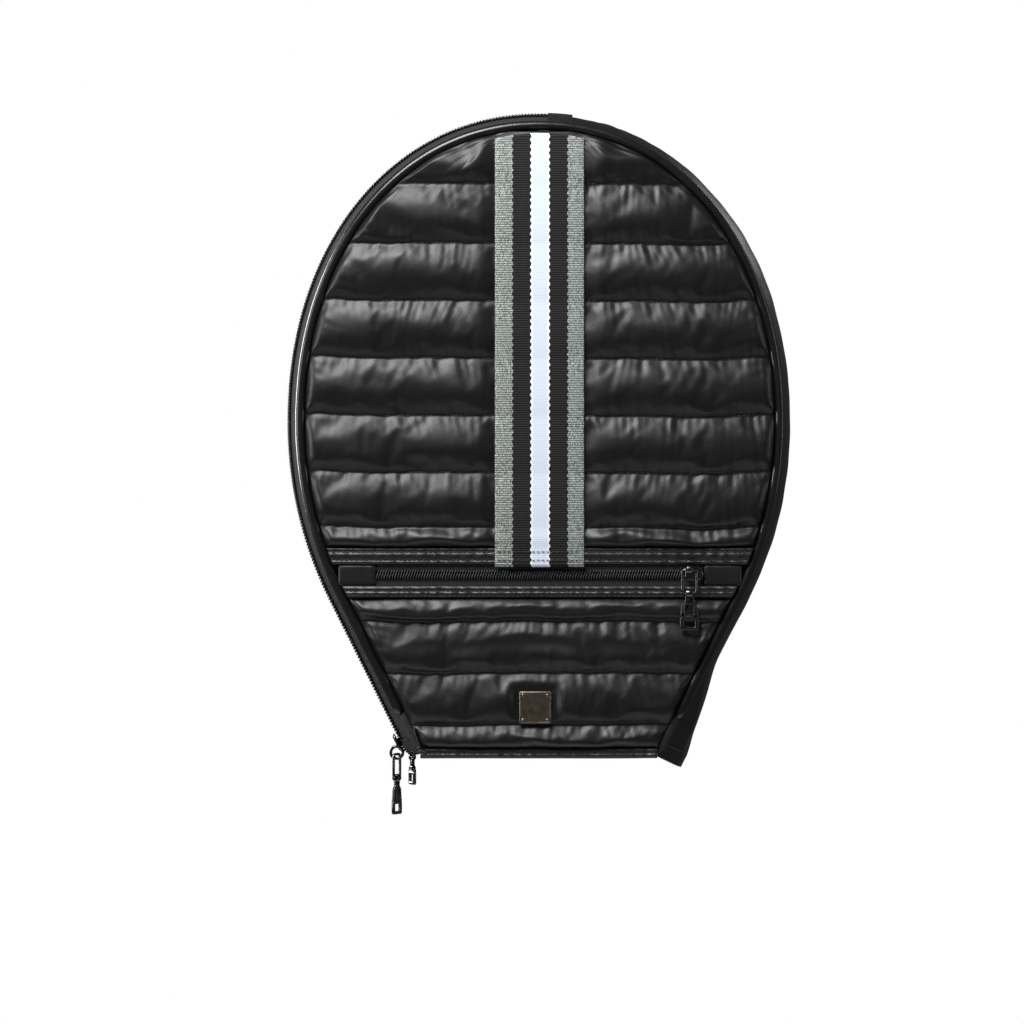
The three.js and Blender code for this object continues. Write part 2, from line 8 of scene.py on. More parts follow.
import bpy
import numpy as np
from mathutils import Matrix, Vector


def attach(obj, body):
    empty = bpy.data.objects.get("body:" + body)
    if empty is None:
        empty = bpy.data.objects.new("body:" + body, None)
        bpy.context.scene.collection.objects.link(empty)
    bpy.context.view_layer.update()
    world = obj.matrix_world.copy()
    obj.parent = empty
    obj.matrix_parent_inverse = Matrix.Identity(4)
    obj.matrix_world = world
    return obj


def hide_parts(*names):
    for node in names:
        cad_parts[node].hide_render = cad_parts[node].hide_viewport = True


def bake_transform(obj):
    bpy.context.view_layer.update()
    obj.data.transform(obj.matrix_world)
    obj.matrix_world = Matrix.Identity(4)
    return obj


bl_info = {
    "name": "Racket backpack",
    "version": (1, 0, 0),
    "blender": (4, 5, 0),
    "location": "View3D > Sidebar > Racket bag",
    "description": "Builds the quilted racket backpack round its packed frame",
    "category": "Object",
}

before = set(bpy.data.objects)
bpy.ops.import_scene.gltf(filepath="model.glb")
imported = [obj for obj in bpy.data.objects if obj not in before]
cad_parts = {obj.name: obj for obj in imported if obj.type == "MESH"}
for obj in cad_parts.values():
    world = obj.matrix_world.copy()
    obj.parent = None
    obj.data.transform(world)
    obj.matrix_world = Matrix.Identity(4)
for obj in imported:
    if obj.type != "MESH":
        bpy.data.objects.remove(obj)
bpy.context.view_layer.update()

# ---------------------------------------------------------------- sizes shared by the pieces
HOOK = np.array([0.0, 62.0, 184.0])  # the row's origin, in bag coordinates
RIM_HALF_WIDTH, RIM_CROWN, RIM_DROP = 162.0, 198.5, 215.7
CROWN_FULLNESS = 0.95
SIDE_RADIUS = 256.0
TAPER = math.atan(0.5)
GUSSET_EDGE, GUSSET_CROWN = 22.6, 7.2
PIPING_INSET, PIPING_DEPTH = 8.3, 26.0
PANEL_INSET = 11.2
PANEL_TOP = 186.2  # top edge of both quilted panels
QUILT_DEPTH, BACKING_DEPTH = 27.4, 25.3  # depth of a quilt's seams and of its flat backing
ZIP_CENTRE = -9.0
HEM_TOP = -209.5
SEAMS_UPPER = (152.3, 114.2, 77.4, 40.6, 3.8, -32.7, -67.9)
SEAMS_LOWER = (-127.4, -160.7, -193.9)
SEAMS_BACK = (-172.0, -135.0, -98.0, -61.0, -24.0, 13.0, 50.0, 87.0, 124.0, 158.0)
UPPER_SEED, LOWER_SEED = 3, 11  # seeds of the waves in the front seams and their stitching
BAND_SEAM, LOWER_QUILT_TOP = -81.2, -112.4
UPPER_WELT_ROWS, LOWER_WELT_ROWS, HEM_ROW = (-83.1, -88.4), (-108.2, -111.3), -212.2
STRIPE_HALF = 28.4
FOLD_FOOT = (73.0, -RIM_DROP)
FOLD_HEAD = (4.0, 186.5)
FOLD_DEPTH = -33.5
POCKET_ZIP, POCKET_TAPE_END = -97.8, 105.0
PULL_CLEARANCE = 33.4  # depth that the quilt keeps to where the pocket's pull travels
BADGE, BADGE_FACE = (-3.0, -182.7), 31.6
VIEW_WIDTH = 0.65536  # metres across the camera's view at the front panel
SENSOR_WIDTH = 36  # millimetres, the camera's own
FINE_THREADS = 5200.0  # turns of the fine weave's sine in a metre


# ---------------------------------------------------------------- what a user may change
def length_property(name, description, default, low, high):
    return bpy.props.FloatProperty(name=name, description=description, default=default, min=low, max=high,
                                   precision=5, subtype="DISTANCE", unit="LENGTH")


def colour_property(name, description, default):
    return bpy.props.FloatVectorProperty(name=name, description=description, default=default, size=3,
                                         min=0.0, max=1.0, precision=4, subtype="COLOR")


class BagSizes(bpy.types.PropertyGroup):
    """Sizes of the soft parts that the frame doesn't fix."""
    front_puff: length_property(
        "Front puff", "Height of the front quilt's channels over their seams", 0.0052, 0.002, 0.006)
    back_puff: length_property(
        "Back puff", "Height of the back panel's channels over their seams", 0.0036, 0.001, 0.005)
    piping_radius: length_property(
        "Piping radius", "Radius of the cord in the piping", 0.0031, 0.0024, 0.0034)
    stitch_pitch: length_property(
        "Stitch pitch", "Distance from one stitch to the next", 0.0031, 0.0026, 0.005)
    stitch_length: length_property("Stitch length", "Length of a stitch", 0.0023, 0.001, 0.004)
    thread: length_property("Thread", "Thickness of the sewing thread", 0.00055, 0.0003, 0.001)
    rim_coil_pitch: length_property(
        "Cover coil pitch", "Distance between the teeth of the zip round the cover", 0.0021, 0.0018, 0.003)
    pocket_coil_pitch: length_property(
        "Pocket coil pitch", "Distance between the teeth of the pocket's zip", 0.0017, 0.0015, 0.003)
    pad_half_thickness: length_property(
        "Pad half thickness", "Half the thickness of a shoulder pad", 0.0034, 0.0025, 0.0045)


class BagColours(bpy.types.PropertyGroup):
    """Base colours of the cloths, tapes and metals."""
    nylon: colour_property(
        "Glossy nylon", "Quilted panels, gussets and shoulder pads", (0.0042, 0.0042, 0.0046))
    hem: colour_property("Hem nylon", "Hems, welts, patches and the yoke", (0.0085, 0.0085, 0.009))
    piping: colour_property("Piping", "Coated cord round the rim", (0.006, 0.006, 0.0065))
    coil: colour_property("Zip coil", "Teeth of both zips", (0.007, 0.007, 0.0075))
    lining: colour_property("Lining", "Cloth inside the bag", (0.05, 0.052, 0.056))
    webbing_dark: colour_property(
        "Webbing, between ribs", "Hollows of the strap webbing", (0.011, 0.011, 0.012))
    webbing_light: colour_property("Webbing, on ribs", "Ribs of the strap webbing", (0.035, 0.035, 0.038))
    thread: colour_property("Thread", "Bright side of the sewing thread", (0.085, 0.085, 0.088))
    stripe_light: colour_property("Stripe, middle", "Middle band of the woven stripe", (0.645, 0.725, 0.84))
    stripe_grey: colour_property("Stripe, outer", "Two outer bands of the woven stripe", (0.24, 0.26, 0.245))
    nickel: colour_property("Dark nickel", "Sliders, pulls, rings and slides", (0.125, 0.113, 0.104))
    bronze: colour_property("Brown gunmetal", "Badge plate and its rivets", (0.3, 0.24, 0.19))


class BagStudio(bpy.types.PropertyGroup):
    """The lights and the camera."""
    key_power: bpy.props.FloatProperty(name="Key light", description="Power of the large light above the front",
                                       default=29.0, min=0.0, unit="POWER")
    side_power: bpy.props.FloatProperty(name="Side lights", description="Power of each tall light at the sides",
                                        default=15.0, min=0.0, unit="POWER")
    back_power: bpy.props.FloatProperty(name="Back lights", description="Power of each light behind the bag",
                                        default=30.0, min=0.0, unit="POWER")
    camera_distance: length_property("Camera distance", "From the front panel to the camera", 3.2, 1.0, 20.0)


def size_mm(name):
    """One of the user's sizes, in millimetres."""
    return round(1000 * getattr(bpy.context.scene.racket_bag_sizes, name), 4)


def colour(name):
    """One of the user's colours."""
    return tuple(round(part, 5) for part in getattr(bpy.context.scene.racket_bag_colours, name))


def random_wave(x, seed, low=0.05, high=0.6, waves=14):
    """A smooth random curve: a sum of sine waves with seeded lengths and phases, weaker as they
    get shorter, scaled to about -1 to 1."""
    rng = np.random.default_rng(seed)
    rate = np.exp(rng.uniform(math.log(low), math.log(high), waves))
    phase = rng.uniform(0, 2 * math.pi, waves)
    weight = rate**-0.35
    total = np.zeros_like(np.asarray(x, float))
    for k in range(waves):
        total = total + weight[k] * np.sin(rate[k] * x + phase[k])
    return total / (np.sqrt((weight**2).sum() / 2) * 2)


def smooth(t):
    """0 below 0, 1 above 1 and a smooth cubic between."""
    t = np.clip(t, 0.0, 1.0)
    return t * t * (3 - 2 * t)


def placed(points):
    """Bag coordinates in millimetres as row coordinates in metres."""
    return (np.asarray(points, float) - HOOK) / 1000.0


# ---------------------------------------------------------------- the rim
def rim(station, inset=0.0):
    """x and z of the rim, moved in by inset along its normal. Station 0 is the top, 1 the widest
    line, 2 the end of the side arc and 3 the hem; negative stations are the left side. The upper
    part is a superellipse, then a circular arc, then a straight line."""
    s = np.abs(station)
    side = np.where(np.asarray(station) < 0, -1.0, 1.0)
    angle = (math.pi / 2) * (1 - np.minimum(s, 1))
    across, up = np.maximum(np.cos(angle), 0), np.maximum(np.sin(angle), 0)
    lean = TAPER * np.clip(s - 1, 0, 1)
    past = np.maximum(s - 2, 0) * (RIM_DROP - SIDE_RADIUS * math.sin(TAPER)) / math.cos(TAPER)
    upper = s <= 1
    x = np.where(upper, RIM_HALF_WIDTH * across**CROWN_FULLNESS,
                 RIM_HALF_WIDTH - SIDE_RADIUS + SIDE_RADIUS * np.cos(lean) - past * math.sin(TAPER))
    z = np.where(upper, RIM_CROWN * up**CROWN_FULLNESS,
                 -SIDE_RADIUS * np.sin(lean) - past * math.cos(TAPER))
    nx = np.where(upper, across ** (2 - CROWN_FULLNESS) / RIM_HALF_WIDTH, np.cos(lean))
    nz = np.where(upper, up ** (2 - CROWN_FULLNESS) / RIM_CROWN, -np.sin(lean))
    length = np.hypot(nx, nz)
    nx, nz = nx / length, nz / length
    return side * (x - inset * nx), z - inset * nz, side * nx, nz


def station_at(height):
    """The station on the rim's straight lower stretch at a height."""
    top = SIDE_RADIUS * math.sin(TAPER)
    return 2 + (-height - top) / (RIM_DROP - top)


def half_width(z, inset):
    """Half the width of the outline moved in by inset, at height z."""
    x, height, _, _ = rim(np.linspace(0, 3.4, 900), inset)
    return np.interp(z, height[::-1], x[::-1])


def bulge(depth):
    """How far in from the rim the gusset's outer face is: a parabola over the depth."""
    return GUSSET_CROWN * (depth / GUSSET_EDGE) ** 2


# ---------------------------------------------------------------- meshes from arrays
def mesh_object(name, points, faces):
    """A smooth-shaded object from row coordinates and faces."""
    mesh = bpy.data.meshes.new(name)
    mesh.from_pydata(np.asarray(points, float).reshape(-1, 3).tolist(), [], faces)
    mesh.validate()
    mesh.update()
    mesh.shade_smooth()
    obj = bpy.data.objects.new(name, mesh)
    bpy.context.scene.collection.objects.link(obj)
    return obj


def grid_faces(rows, cols, wrap_rows=False, wrap_cols=False, start=0, flip=False):
    """Quads over a grid of rows by cols points, row by row, closed round either way if asked."""
    i = np.arange(rows if wrap_rows else rows - 1)
    j = np.arange(cols if wrap_cols else cols - 1)
    i, j = np.meshgrid(i, j, indexing="ij")
    k, l = (i + 1) % rows, (j + 1) % cols
    quads = np.stack([i * cols + j, i * cols + l, k * cols + l, k * cols + j], -1).reshape(-1, 4)
    if flip:
        quads = quads[:, ::-1]
    return (quads + start).tolist()


def shell_arrays(outer, inner):
    """Points and faces of a closed sheet between two grids of the same shape: the outer grid, the
    inner grid turned over, and a strip of quads round their edges."""
    rows, cols = outer.shape[:2]
    count = rows * cols
    index = np.arange(count).reshape(rows, cols)
    ring = np.concatenate([index[0, :-1], index[:-1, -1], index[-1, :0:-1], index[:0:-1, 0]])
    after = np.roll(ring, -1)
    faces = grid_faces(rows, cols) + grid_faces(rows, cols, start=count, flip=True)
    faces += np.stack([after, ring, ring + count, after + count], -1).tolist()
    return np.concatenate([outer.reshape(-1, 3), inner.reshape(-1, 3)]), faces


def shell(name, outer, inner):
    """A closed sheet between two grids, in bag coordinates, with its faces turned outwards."""
    points, faces = shell_arrays(outer, inner)
    obj = mesh_object(name, placed(points), faces)
    return outwards(obj)


def outwards(obj):
    """Turns the whole mesh over if its signed volume, the sum over its triangles, is negative."""
    mesh = obj.data
    co = np.zeros(len(mesh.vertices) * 3)
    mesh.vertices.foreach_get("co", co)
    co = co.reshape(-1, 3)
    mesh.calc_loop_triangles()
    tri = np.zeros(len(mesh.loop_triangles) * 3, int)
    mesh.loop_triangles.foreach_get("vertices", tri)
    a, b, c = (co[tri.reshape(-1, 3)[:, k]] for k in range(3))
    if np.einsum("ij,ij->i", a, np.cross(b, c)).sum() < 0:
        mesh.flip_normals()
    return obj


def swept_points(path, across, outward, profile):
    """A section carried along a path: each path point plus the profile's two coordinates along the
    across and outward directions there. Profile is (points, 2) or (path points, points, 2)."""
    profile = np.asarray(profile, float)
    if profile.ndim == 2:
        profile = np.broadcast_to(profile, (len(path),) + profile.shape)
    return path[:, None] + profile[..., :1] * across[:, None] + profile[..., 1:] * outward[:, None]


def tube_arrays(rings, closed=False):
    """Points and faces of rings joined into a tube, with its two ends capped unless it closes."""
    rows, cols = rings.shape[:2]
    faces = grid_faces(rows, cols, wrap_rows=closed, wrap_cols=True)
    if not closed:
        faces += [list(range(cols))[::-1], list(range((rows - 1) * cols, rows * cols))]
    return rings.reshape(-1, 3), faces


def tube(name, rings, closed=False):
    """A capped or closed tube through rings of points in bag coordinates."""
    points, faces = tube_arrays(rings, closed)
    return outwards(mesh_object(name, placed(points), faces))


def circle(radius, count=12):
    """A round section."""
    t = np.arange(count) * 2 * math.pi / count
    return np.stack([radius * np.cos(t), radius * np.sin(t)], -1)


def rounded_section(width, height, radius, arc=3):
    """A rectangle with round corners, centred, going round anticlockwise."""
    t = np.linspace(0, math.pi / 2, arc + 1)
    points = []
    for k, (sx, sy) in enumerate(((1, 1), (-1, 1), (-1, -1), (1, -1))):
        a = t + k * math.pi / 2
        points.append(np.stack([sx * (width / 2 - radius) + radius * np.cos(a),
                                sy * (height / 2 - radius) + radius * np.sin(a)], -1))
    return np.concatenate(points)


def joined(name, parts):
    """One object from several sets of points and faces, in bag coordinates."""
    points, faces, start = [], [], 0
    for p, f in parts:
        p = np.asarray(p, float).reshape(-1, 3)
        points.append(p)
        faces += [[i + start for i in face] for face in f]
        start += len(p)
    return mesh_object(name, placed(np.concatenate(points)), faces)


def repeated(unit, faces, origins, xs, ys, zs):
    """Copies of a unit shape at many places: each copy is its origin plus the unit's coordinates
    along that place's three directions."""
    points = (origins[:, None] + unit[None, :, :1] * xs[:, None] + unit[None, :, 1:2] * ys[:, None]
              + unit[None, :, 2:] * zs[:, None])
    offsets = np.arange(len(origins))[:, None] * len(unit)
    all_faces = []
    for face in faces:
        all_faces += (np.array(face)[None] + offsets).tolist()
    return points.reshape(-1, 3), all_faces


def bead(length, width, height, rings=4, sides=8):
    """A rounded bead along x: rings of an oval section whose size follows a superellipse."""
    t = np.linspace(-1, 1, rings + 2)
    size = np.maximum(1 - np.abs(t) ** 2.6, 0.12) ** (1 / 2.6)
    ring = circle(1, sides)
    points = np.stack([np.repeat(t * length / 2, sides),
                       (size[:, None] * ring[None, :, 0] * width / 2).ravel(),
                       (size[:, None] * ring[None, :, 1] * height / 2).ravel()], -1)
    count = rings + 2
    faces = grid_faces(count, sides, wrap_cols=True, flip=True)
    faces += [list(range(sides)), list(range((count - 1) * sides, count * sides))[::-1]]
    return points, faces


def stitches(path, normal, lift=0.12):
    """A row of stitches: beads of thread spaced evenly along a path of points, lying on the cloth."""
    pitch, length, thread = size_mm("stitch_pitch"), size_mm("stitch_length"), size_mm("thread")
    steps = np.r_[0, np.cumsum(np.linalg.norm(np.diff(path, axis=0), axis=1))]
    at = np.arange(pitch / 2, steps[-1], pitch)
    origin = np.stack([np.interp(at, steps, path[:, k]) for k in range(3)], -1)
    ahead = np.stack([np.interp(at + 0.5, steps, path[:, k]) for k in range(3)], -1)
    behind = np.stack([np.interp(at - 0.5, steps, path[:, k]) for k in range(3)], -1)
    x = ahead - behind
    x /= np.linalg.norm(x, axis=1)[:, None]
    z = np.broadcast_to(np.asarray(normal, float), x.shape)
    y = np.cross(z, x)
    y /= np.linalg.norm(y, axis=1)[:, None]
    unit, faces = bead(length, thread, thread * 0.8, rings=3, sides=6)
    return repeated(unit, faces, origin + lift * z, x, y, z)


# ---------------------------------------------------------------- finishes
def feed(tree, socket, value):
    """Gives an input socket a value, or links it to an output socket."""
    if isinstance(value, bpy.types.NodeSocket):
        tree.links.new(value, socket)
    else:
        socket.default_value = value


def add_node(tree, kind, links=None, **settings):
    """A shader node with its settings, and its inputs fed by name or number."""
    made = tree.nodes.new(kind)
    for key, value in settings.items():
        setattr(made, key, value)
    for key, value in (links or {}).items():
        feed(tree, made.inputs[key], value)
    return made


def math_node(tree, operation, *values):
    """The result of a Math node on one to three sockets or numbers."""
    return add_node(tree, "ShaderNodeMath", dict(enumerate(values)), operation=operation).outputs[0]


class Material:
    """A Principled material with helpers that add its nodes and links."""

    def __init__(self, name, color, roughness, metallic=0.0, specular=0.5):
        self.material = bpy.data.materials.new(name)
        self.material.use_nodes = True
        self.tree = self.material.node_tree
        self.shader = self.tree.nodes["Principled BSDF"]
        self.shader.inputs["Base Color"].default_value = (*color, 1)
        self.shader.inputs["Roughness"].default_value = roughness
        self.shader.inputs["Metallic"].default_value = metallic
        self.shader.inputs["Specular IOR Level"].default_value = specular
        self.place = self.node("ShaderNodeTexCoord").outputs["Object"]

    def node(self, kind, links=None, **settings):
        return add_node(self.tree, kind, links, **settings)

    def calculate(self, operation, *values):
        """The result of a Math node on one to three sockets or numbers."""
        return math_node(self.tree, operation, *values)

    def scaled(self, value, low, high, to_low=0.0, to_high=1.0):
        """A value that runs from low to high, stretched to another range."""
        return self.node("ShaderNodeMapRange", {"Value": value, "From Min": low, "From Max": high,
                                                "To Min": to_low, "To Max": to_high}).outputs[0]

    def mixed(self, share, first, second):
        """A colour between two, by the share of the second."""
        mix = self.node("ShaderNodeMix", {"Factor": share}, data_type="RGBA")
        mix.inputs[6].default_value = (*first, 1)
        mix.inputs[7].default_value = (*second, 1)
        return mix.outputs[2]

    def group(self, tree, **inputs):
        made = self.node("ShaderNodeGroup", node_tree=tree)
        for key, value in inputs.items():
            feed(self.tree, made.inputs[key.replace("_", " ").title()], value)
        return made

    def mapping(self, scale):
        return self.node("ShaderNodeMapping", {"Vector": self.place, "Scale": scale}).outputs[0]

    def bump(self, height, distance, strength=1.0, normal=None):
        links = {"Height": height, "Distance": distance, "Strength": strength}
        if normal is not None:
            links["Normal"] = normal
        return self.node("ShaderNodeBump", links).outputs[0]

    def to_shader(self, **links):
        for key, value in links.items():
            feed(self.tree, self.shader.inputs[key.replace("_", " ")], value)
        return self.material


def new_group(name, inputs, outputs):
    """An empty shader node group with float, vector or colour sockets."""
    kinds = {"f": "NodeSocketFloat", "v": "NodeSocketVector", "c": "NodeSocketColor"}
    tree = bpy.data.node_groups.new(name, "ShaderNodeTree")
    for label, kind, default in inputs:
        socket = tree.interface.new_socket(label, in_out="INPUT", socket_type=kinds[kind])
        if default is not None:
            socket.default_value = default
    for label, kind in outputs:
        tree.interface.new_socket(label, in_out="OUTPUT", socket_type=kinds[kind])
    return tree, tree.nodes.new("NodeGroupInput"), tree.nodes.new("NodeGroupOutput")


def weave_group():
    """Woven cloth: two sets of sine threads at right angles in x and z, each lifted in turn, with a
    slow unevenness. Puts out a height and a mask of the crossings."""
    tree, inside, out = new_group("Weave", [("Place", "v", None), ("Threads", "f", 1600.0),
                                            ("Uneven", "f", 0.3)], [("Height", "f"), ("Mask", "f")])
    place, threads = inside.outputs["Place"], inside.outputs["Threads"]
    split = add_node(tree, "ShaderNodeSeparateXYZ", {"Vector": place})
    flat = math_node(tree, "ADD", split.outputs["X"], split.outputs["Y"])
    waves = []
    for source in (flat, split.outputs["Z"]):
        waves.append(math_node(tree, "SINE", math_node(tree, "MULTIPLY", source, threads)))
    crossed = math_node(tree, "MULTIPLY", *waves)
    cloud = add_node(tree, "ShaderNodeTexNoise", {"Vector": place, "Scale": 90.0, "Detail": 4.0})
    uneven = math_node(tree, "MULTIPLY", cloud.outputs[0], inside.outputs["Uneven"])
    tree.links.new(math_node(tree, "ADD", crossed, uneven), out.inputs["Height"])
    tree.links.new(crossed, out.inputs["Mask"])
    return tree


def wear_group():
    """Handling marks: large soft clouds and fine scratches turned into a small change of roughness,
    and the clouds themselves as a mask."""
    tree, inside, out = new_group("Wear", [("Place", "v", None), ("Base", "f", 0.3), ("Amount", "f", 0.1),
                                           ("Scale", "f", 60.0)], [("Roughness", "f"), ("Mask", "f")])
    cloud = add_node(tree, "ShaderNodeTexNoise", {"Vector": inside.outputs["Place"], "Detail": 6.0,
                                                  "Scale": inside.outputs["Scale"], "Roughness": 0.6})
    centred = math_node(tree, "SUBTRACT", cloud.outputs[0], 0.5)
    spread = math_node(tree, "MULTIPLY", centred, inside.outputs["Amount"])
    tree.links.new(math_node(tree, "ADD", spread, inside.outputs["Base"]), out.inputs["Roughness"])
    tree.links.new(cloud.outputs[0], out.inputs["Mask"])
    return tree


def make_nylon(name, color, roughness, weave, wear, crease=0.00016):
    """Glossy woven nylon: a fine weave over soft random creases, with the gloss varying a little."""
    m = Material(name, color, roughness, specular=0.42)
    cloth = m.group(weave, place=m.place, threads=2600.0, uneven=0.5)
    creases = m.node("ShaderNodeTexNoise", {"Vector": m.place, "Scale": 85.0, "Detail": 4.0, "Roughness": 0.5})
    soft = m.bump(creases.outputs[0], crease)
    fine = m.bump(cloth.outputs["Height"], 0.00002, 0.35, soft)
    rough = m.group(wear, place=m.place, base=roughness, amount=0.16, scale=45.0)
    return m.to_shader(Normal=fine, Roughness=rough.outputs["Roughness"])


def make_ribbed(name, dark, light, roughness, ribs, weave, lean=0.0):
    """Ribbed webbing or tape: ribs across its length with the fine weave over them."""
    m = Material(name, dark, roughness)
    split = m.node("ShaderNodeSeparateXYZ", {"Vector": m.place})
    slanted = m.calculate("MULTIPLY_ADD", split.outputs["X"], lean, split.outputs["Z"])
    rib = m.calculate("SINE", m.calculate("MULTIPLY", slanted, ribs))
    cloth = m.group(weave, place=m.place, threads=FINE_THREADS, uneven=0.6)
    coarse = m.bump(rib, 0.00016, 0.8)
    fine = m.bump(cloth.outputs["Height"], 0.00008, 0.6, coarse)
    return m.to_shader(Normal=fine, Base_Color=m.mixed(m.scaled(rib, -1.0, 1.0), dark, light))


def make_stripe(weave):
    """The woven stripe: five bands side by side with scalloped borders, and ribs across them with painted shade
    between them. A metallic thread runs in the two outer bands; its glints are painted into their colour as
    bright flecks and slanting lines, over the thread's own fleck."""
    ribs, scallops, half_width_m = 4270.0, 1461.0, 0.0288
    m = Material("woven_stripe", (0.5, 0.5, 0.5), 0.62, specular=0.25)
    split = m.node("ShaderNodeSeparateXYZ", {"Vector": m.place})
    x, z = split.outputs["X"], split.outputs["Z"]
    rib_turn = m.calculate("MULTIPLY", z, ribs)
    rib = m.calculate("SINE", rib_turn)
    scallop = m.calculate("SINE", m.calculate("MULTIPLY", z, scallops))
    edge = m.calculate("MULTIPLY_ADD", scallop, 0.00045, x)
    across = m.scaled(edge, -half_width_m, half_width_m)
    ramp = m.node("ShaderNodeValToRGB", {"Fac": across})
    ramp.color_ramp.interpolation = "CONSTANT"
    grey, white = (*colour("stripe_grey"), 1), (*colour("stripe_light"), 1)
    black, selvedge = (0.006, 0.006, 0.0065, 1), (0.82, 0.85, 0.88, 1)
    stops = [(0.0, grey), (0.195, black), (0.395, selvedge), (0.418, white), (0.582, selvedge),
             (0.605, black), (0.805, grey)]
    for k, (at, color) in enumerate(stops):
        stop = ramp.color_ramp.elements[k] if k < 2 else ramp.color_ramp.elements.new(at)
        stop.position, stop.color = at, color
    away = m.calculate("ABSOLUTE", m.calculate("SUBTRACT", across, 0.5))
    outer = m.calculate("GREATER_THAN", away, 0.305)
    # Painted glints of the outer bands' metallic thread: slanting lines and bright flecks that lift and lower
    # their colour, partly the thread's own fleck.
    slant = m.calculate("ADD", m.calculate("MULTIPLY", x, FINE_THREADS), rib_turn)
    painted_glint_lines = m.calculate("SINE", slant)
    speckle = m.node("ShaderNodeTexNoise", {"Vector": m.mapping((1, 1, 0.45)), "Scale": 1500.0, "Detail": 2.0})
    painted_glint_flecks = m.scaled(speckle.outputs[0], 0.35, 0.68, 0.45, 1.7)
    threads = m.calculate("MULTIPLY_ADD", painted_glint_lines, 0.12, painted_glint_flecks)
    # The painted glints scale the outer bands' colour; the other bands keep 1.
    bright = m.node("ShaderNodeMix", {"Factor": outer, "A": 1.0, "B": threads}, data_type="FLOAT")
    # Painted shade in the hollows between the ribs, deepest in the outer bands, partly the weave's own darker
    # yarn.
    rib_painted_shade_depth = m.calculate("MULTIPLY_ADD", outer, 0.38, 0.05)
    middle = m.calculate("LESS_THAN", away, 0.105)
    relief = m.calculate("MULTIPLY_ADD", middle, -0.72, 1.0)
    ribbed = m.calculate("MULTIPLY", rib, relief)
    shade = m.calculate("MULTIPLY_ADD", rib, rib_painted_shade_depth, 0.97)
    both = m.calculate("MULTIPLY", bright.outputs[0], shade)
    tinted = m.node("ShaderNodeVectorMath", {0: ramp.outputs[0]}, operation="SCALE")
    feed(m.tree, tinted.inputs["Scale"], both)
    cloth = m.group(weave, place=m.place, threads=FINE_THREADS, uneven=0.6)
    coarse = m.bump(ribbed, 0.00012, 0.8)
    fine = m.bump(cloth.outputs["Height"], 0.00007, 0.6, coarse)
    return m.to_shader(Normal=fine, Base_Color=tinted.outputs[0], Metallic=m.calculate("MULTIPLY", outer, 0.35))


def make_metal(name, color, roughness, wear, brushed=(1, 1, 1), grain=0.00001):
    """Plated metal: a slightly clouded polish with fine brush lines."""
    m = Material(name, color, roughness, metallic=1.0)
    rough = m.group(wear, place=m.place, base=roughness, amount=0.22, scale=220.0)
    lines = m.node("ShaderNodeTexNoise", {"Vector": m.mapping(brushed), "Scale": 900.0, "Detail": 3.0})
    fine = m.bump(lines.outputs[0], grain)
    tone = m.mixed(m.scaled(rough.outputs["Mask"], 0.35, 0.65), [0.72 * c for c in color], color)
    return m.to_shader(Normal=fine, Roughness=rough.outputs["Roughness"], Base_Color=tone)


def make_coated(name, color, roughness, wear, grain=700.0):
    """Coated piping or moulded coil: a small leathery grain and an uneven gloss."""
    m = Material(name, color, roughness)
    cells = m.node("ShaderNodeTexVoronoi", {"Vector": m.place, "Scale": grain})
    fine = m.bump(cells.outputs[0], 0.00005, 0.3)
    rough = m.group(wear, place=m.place, base=roughness, amount=0.2, scale=70.0)
    return m.to_shader(Normal=fine, Roughness=rough.outputs["Roughness"])


MATERIALS = {}  # by finish, filled by the finishes operator


def finish_with(obj, material, body=None, replaces=()):
    """Gives a piece its material, the body it rides on and the CAD nodes it
    stands for."""
    obj.data.materials.clear()
    obj.data.materials.append(MATERIALS[material])
    if body:
        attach(obj, body)
    if replaces:
        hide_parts(*replaces)
    return obj


def fold(obj):
    """Works out the front cover's fold line from its foot and head, which nothing then uses, and bakes the
    piece's placing into its mesh.
    """
    run = np.array([FOLD_HEAD[0] - FOLD_FOOT[0], 0, FOLD_HEAD[1] - FOLD_FOOT[1]])
    run /= np.linalg.norm(run)
    across = np.array([-run[2], 0, run[0]])
    foot = np.array([FOLD_FOOT[0], FOLD_DEPTH, FOLD_FOOT[1]])
    start, end = placed(foot - 4 * across), placed(foot + 45 * across)
    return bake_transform(obj)


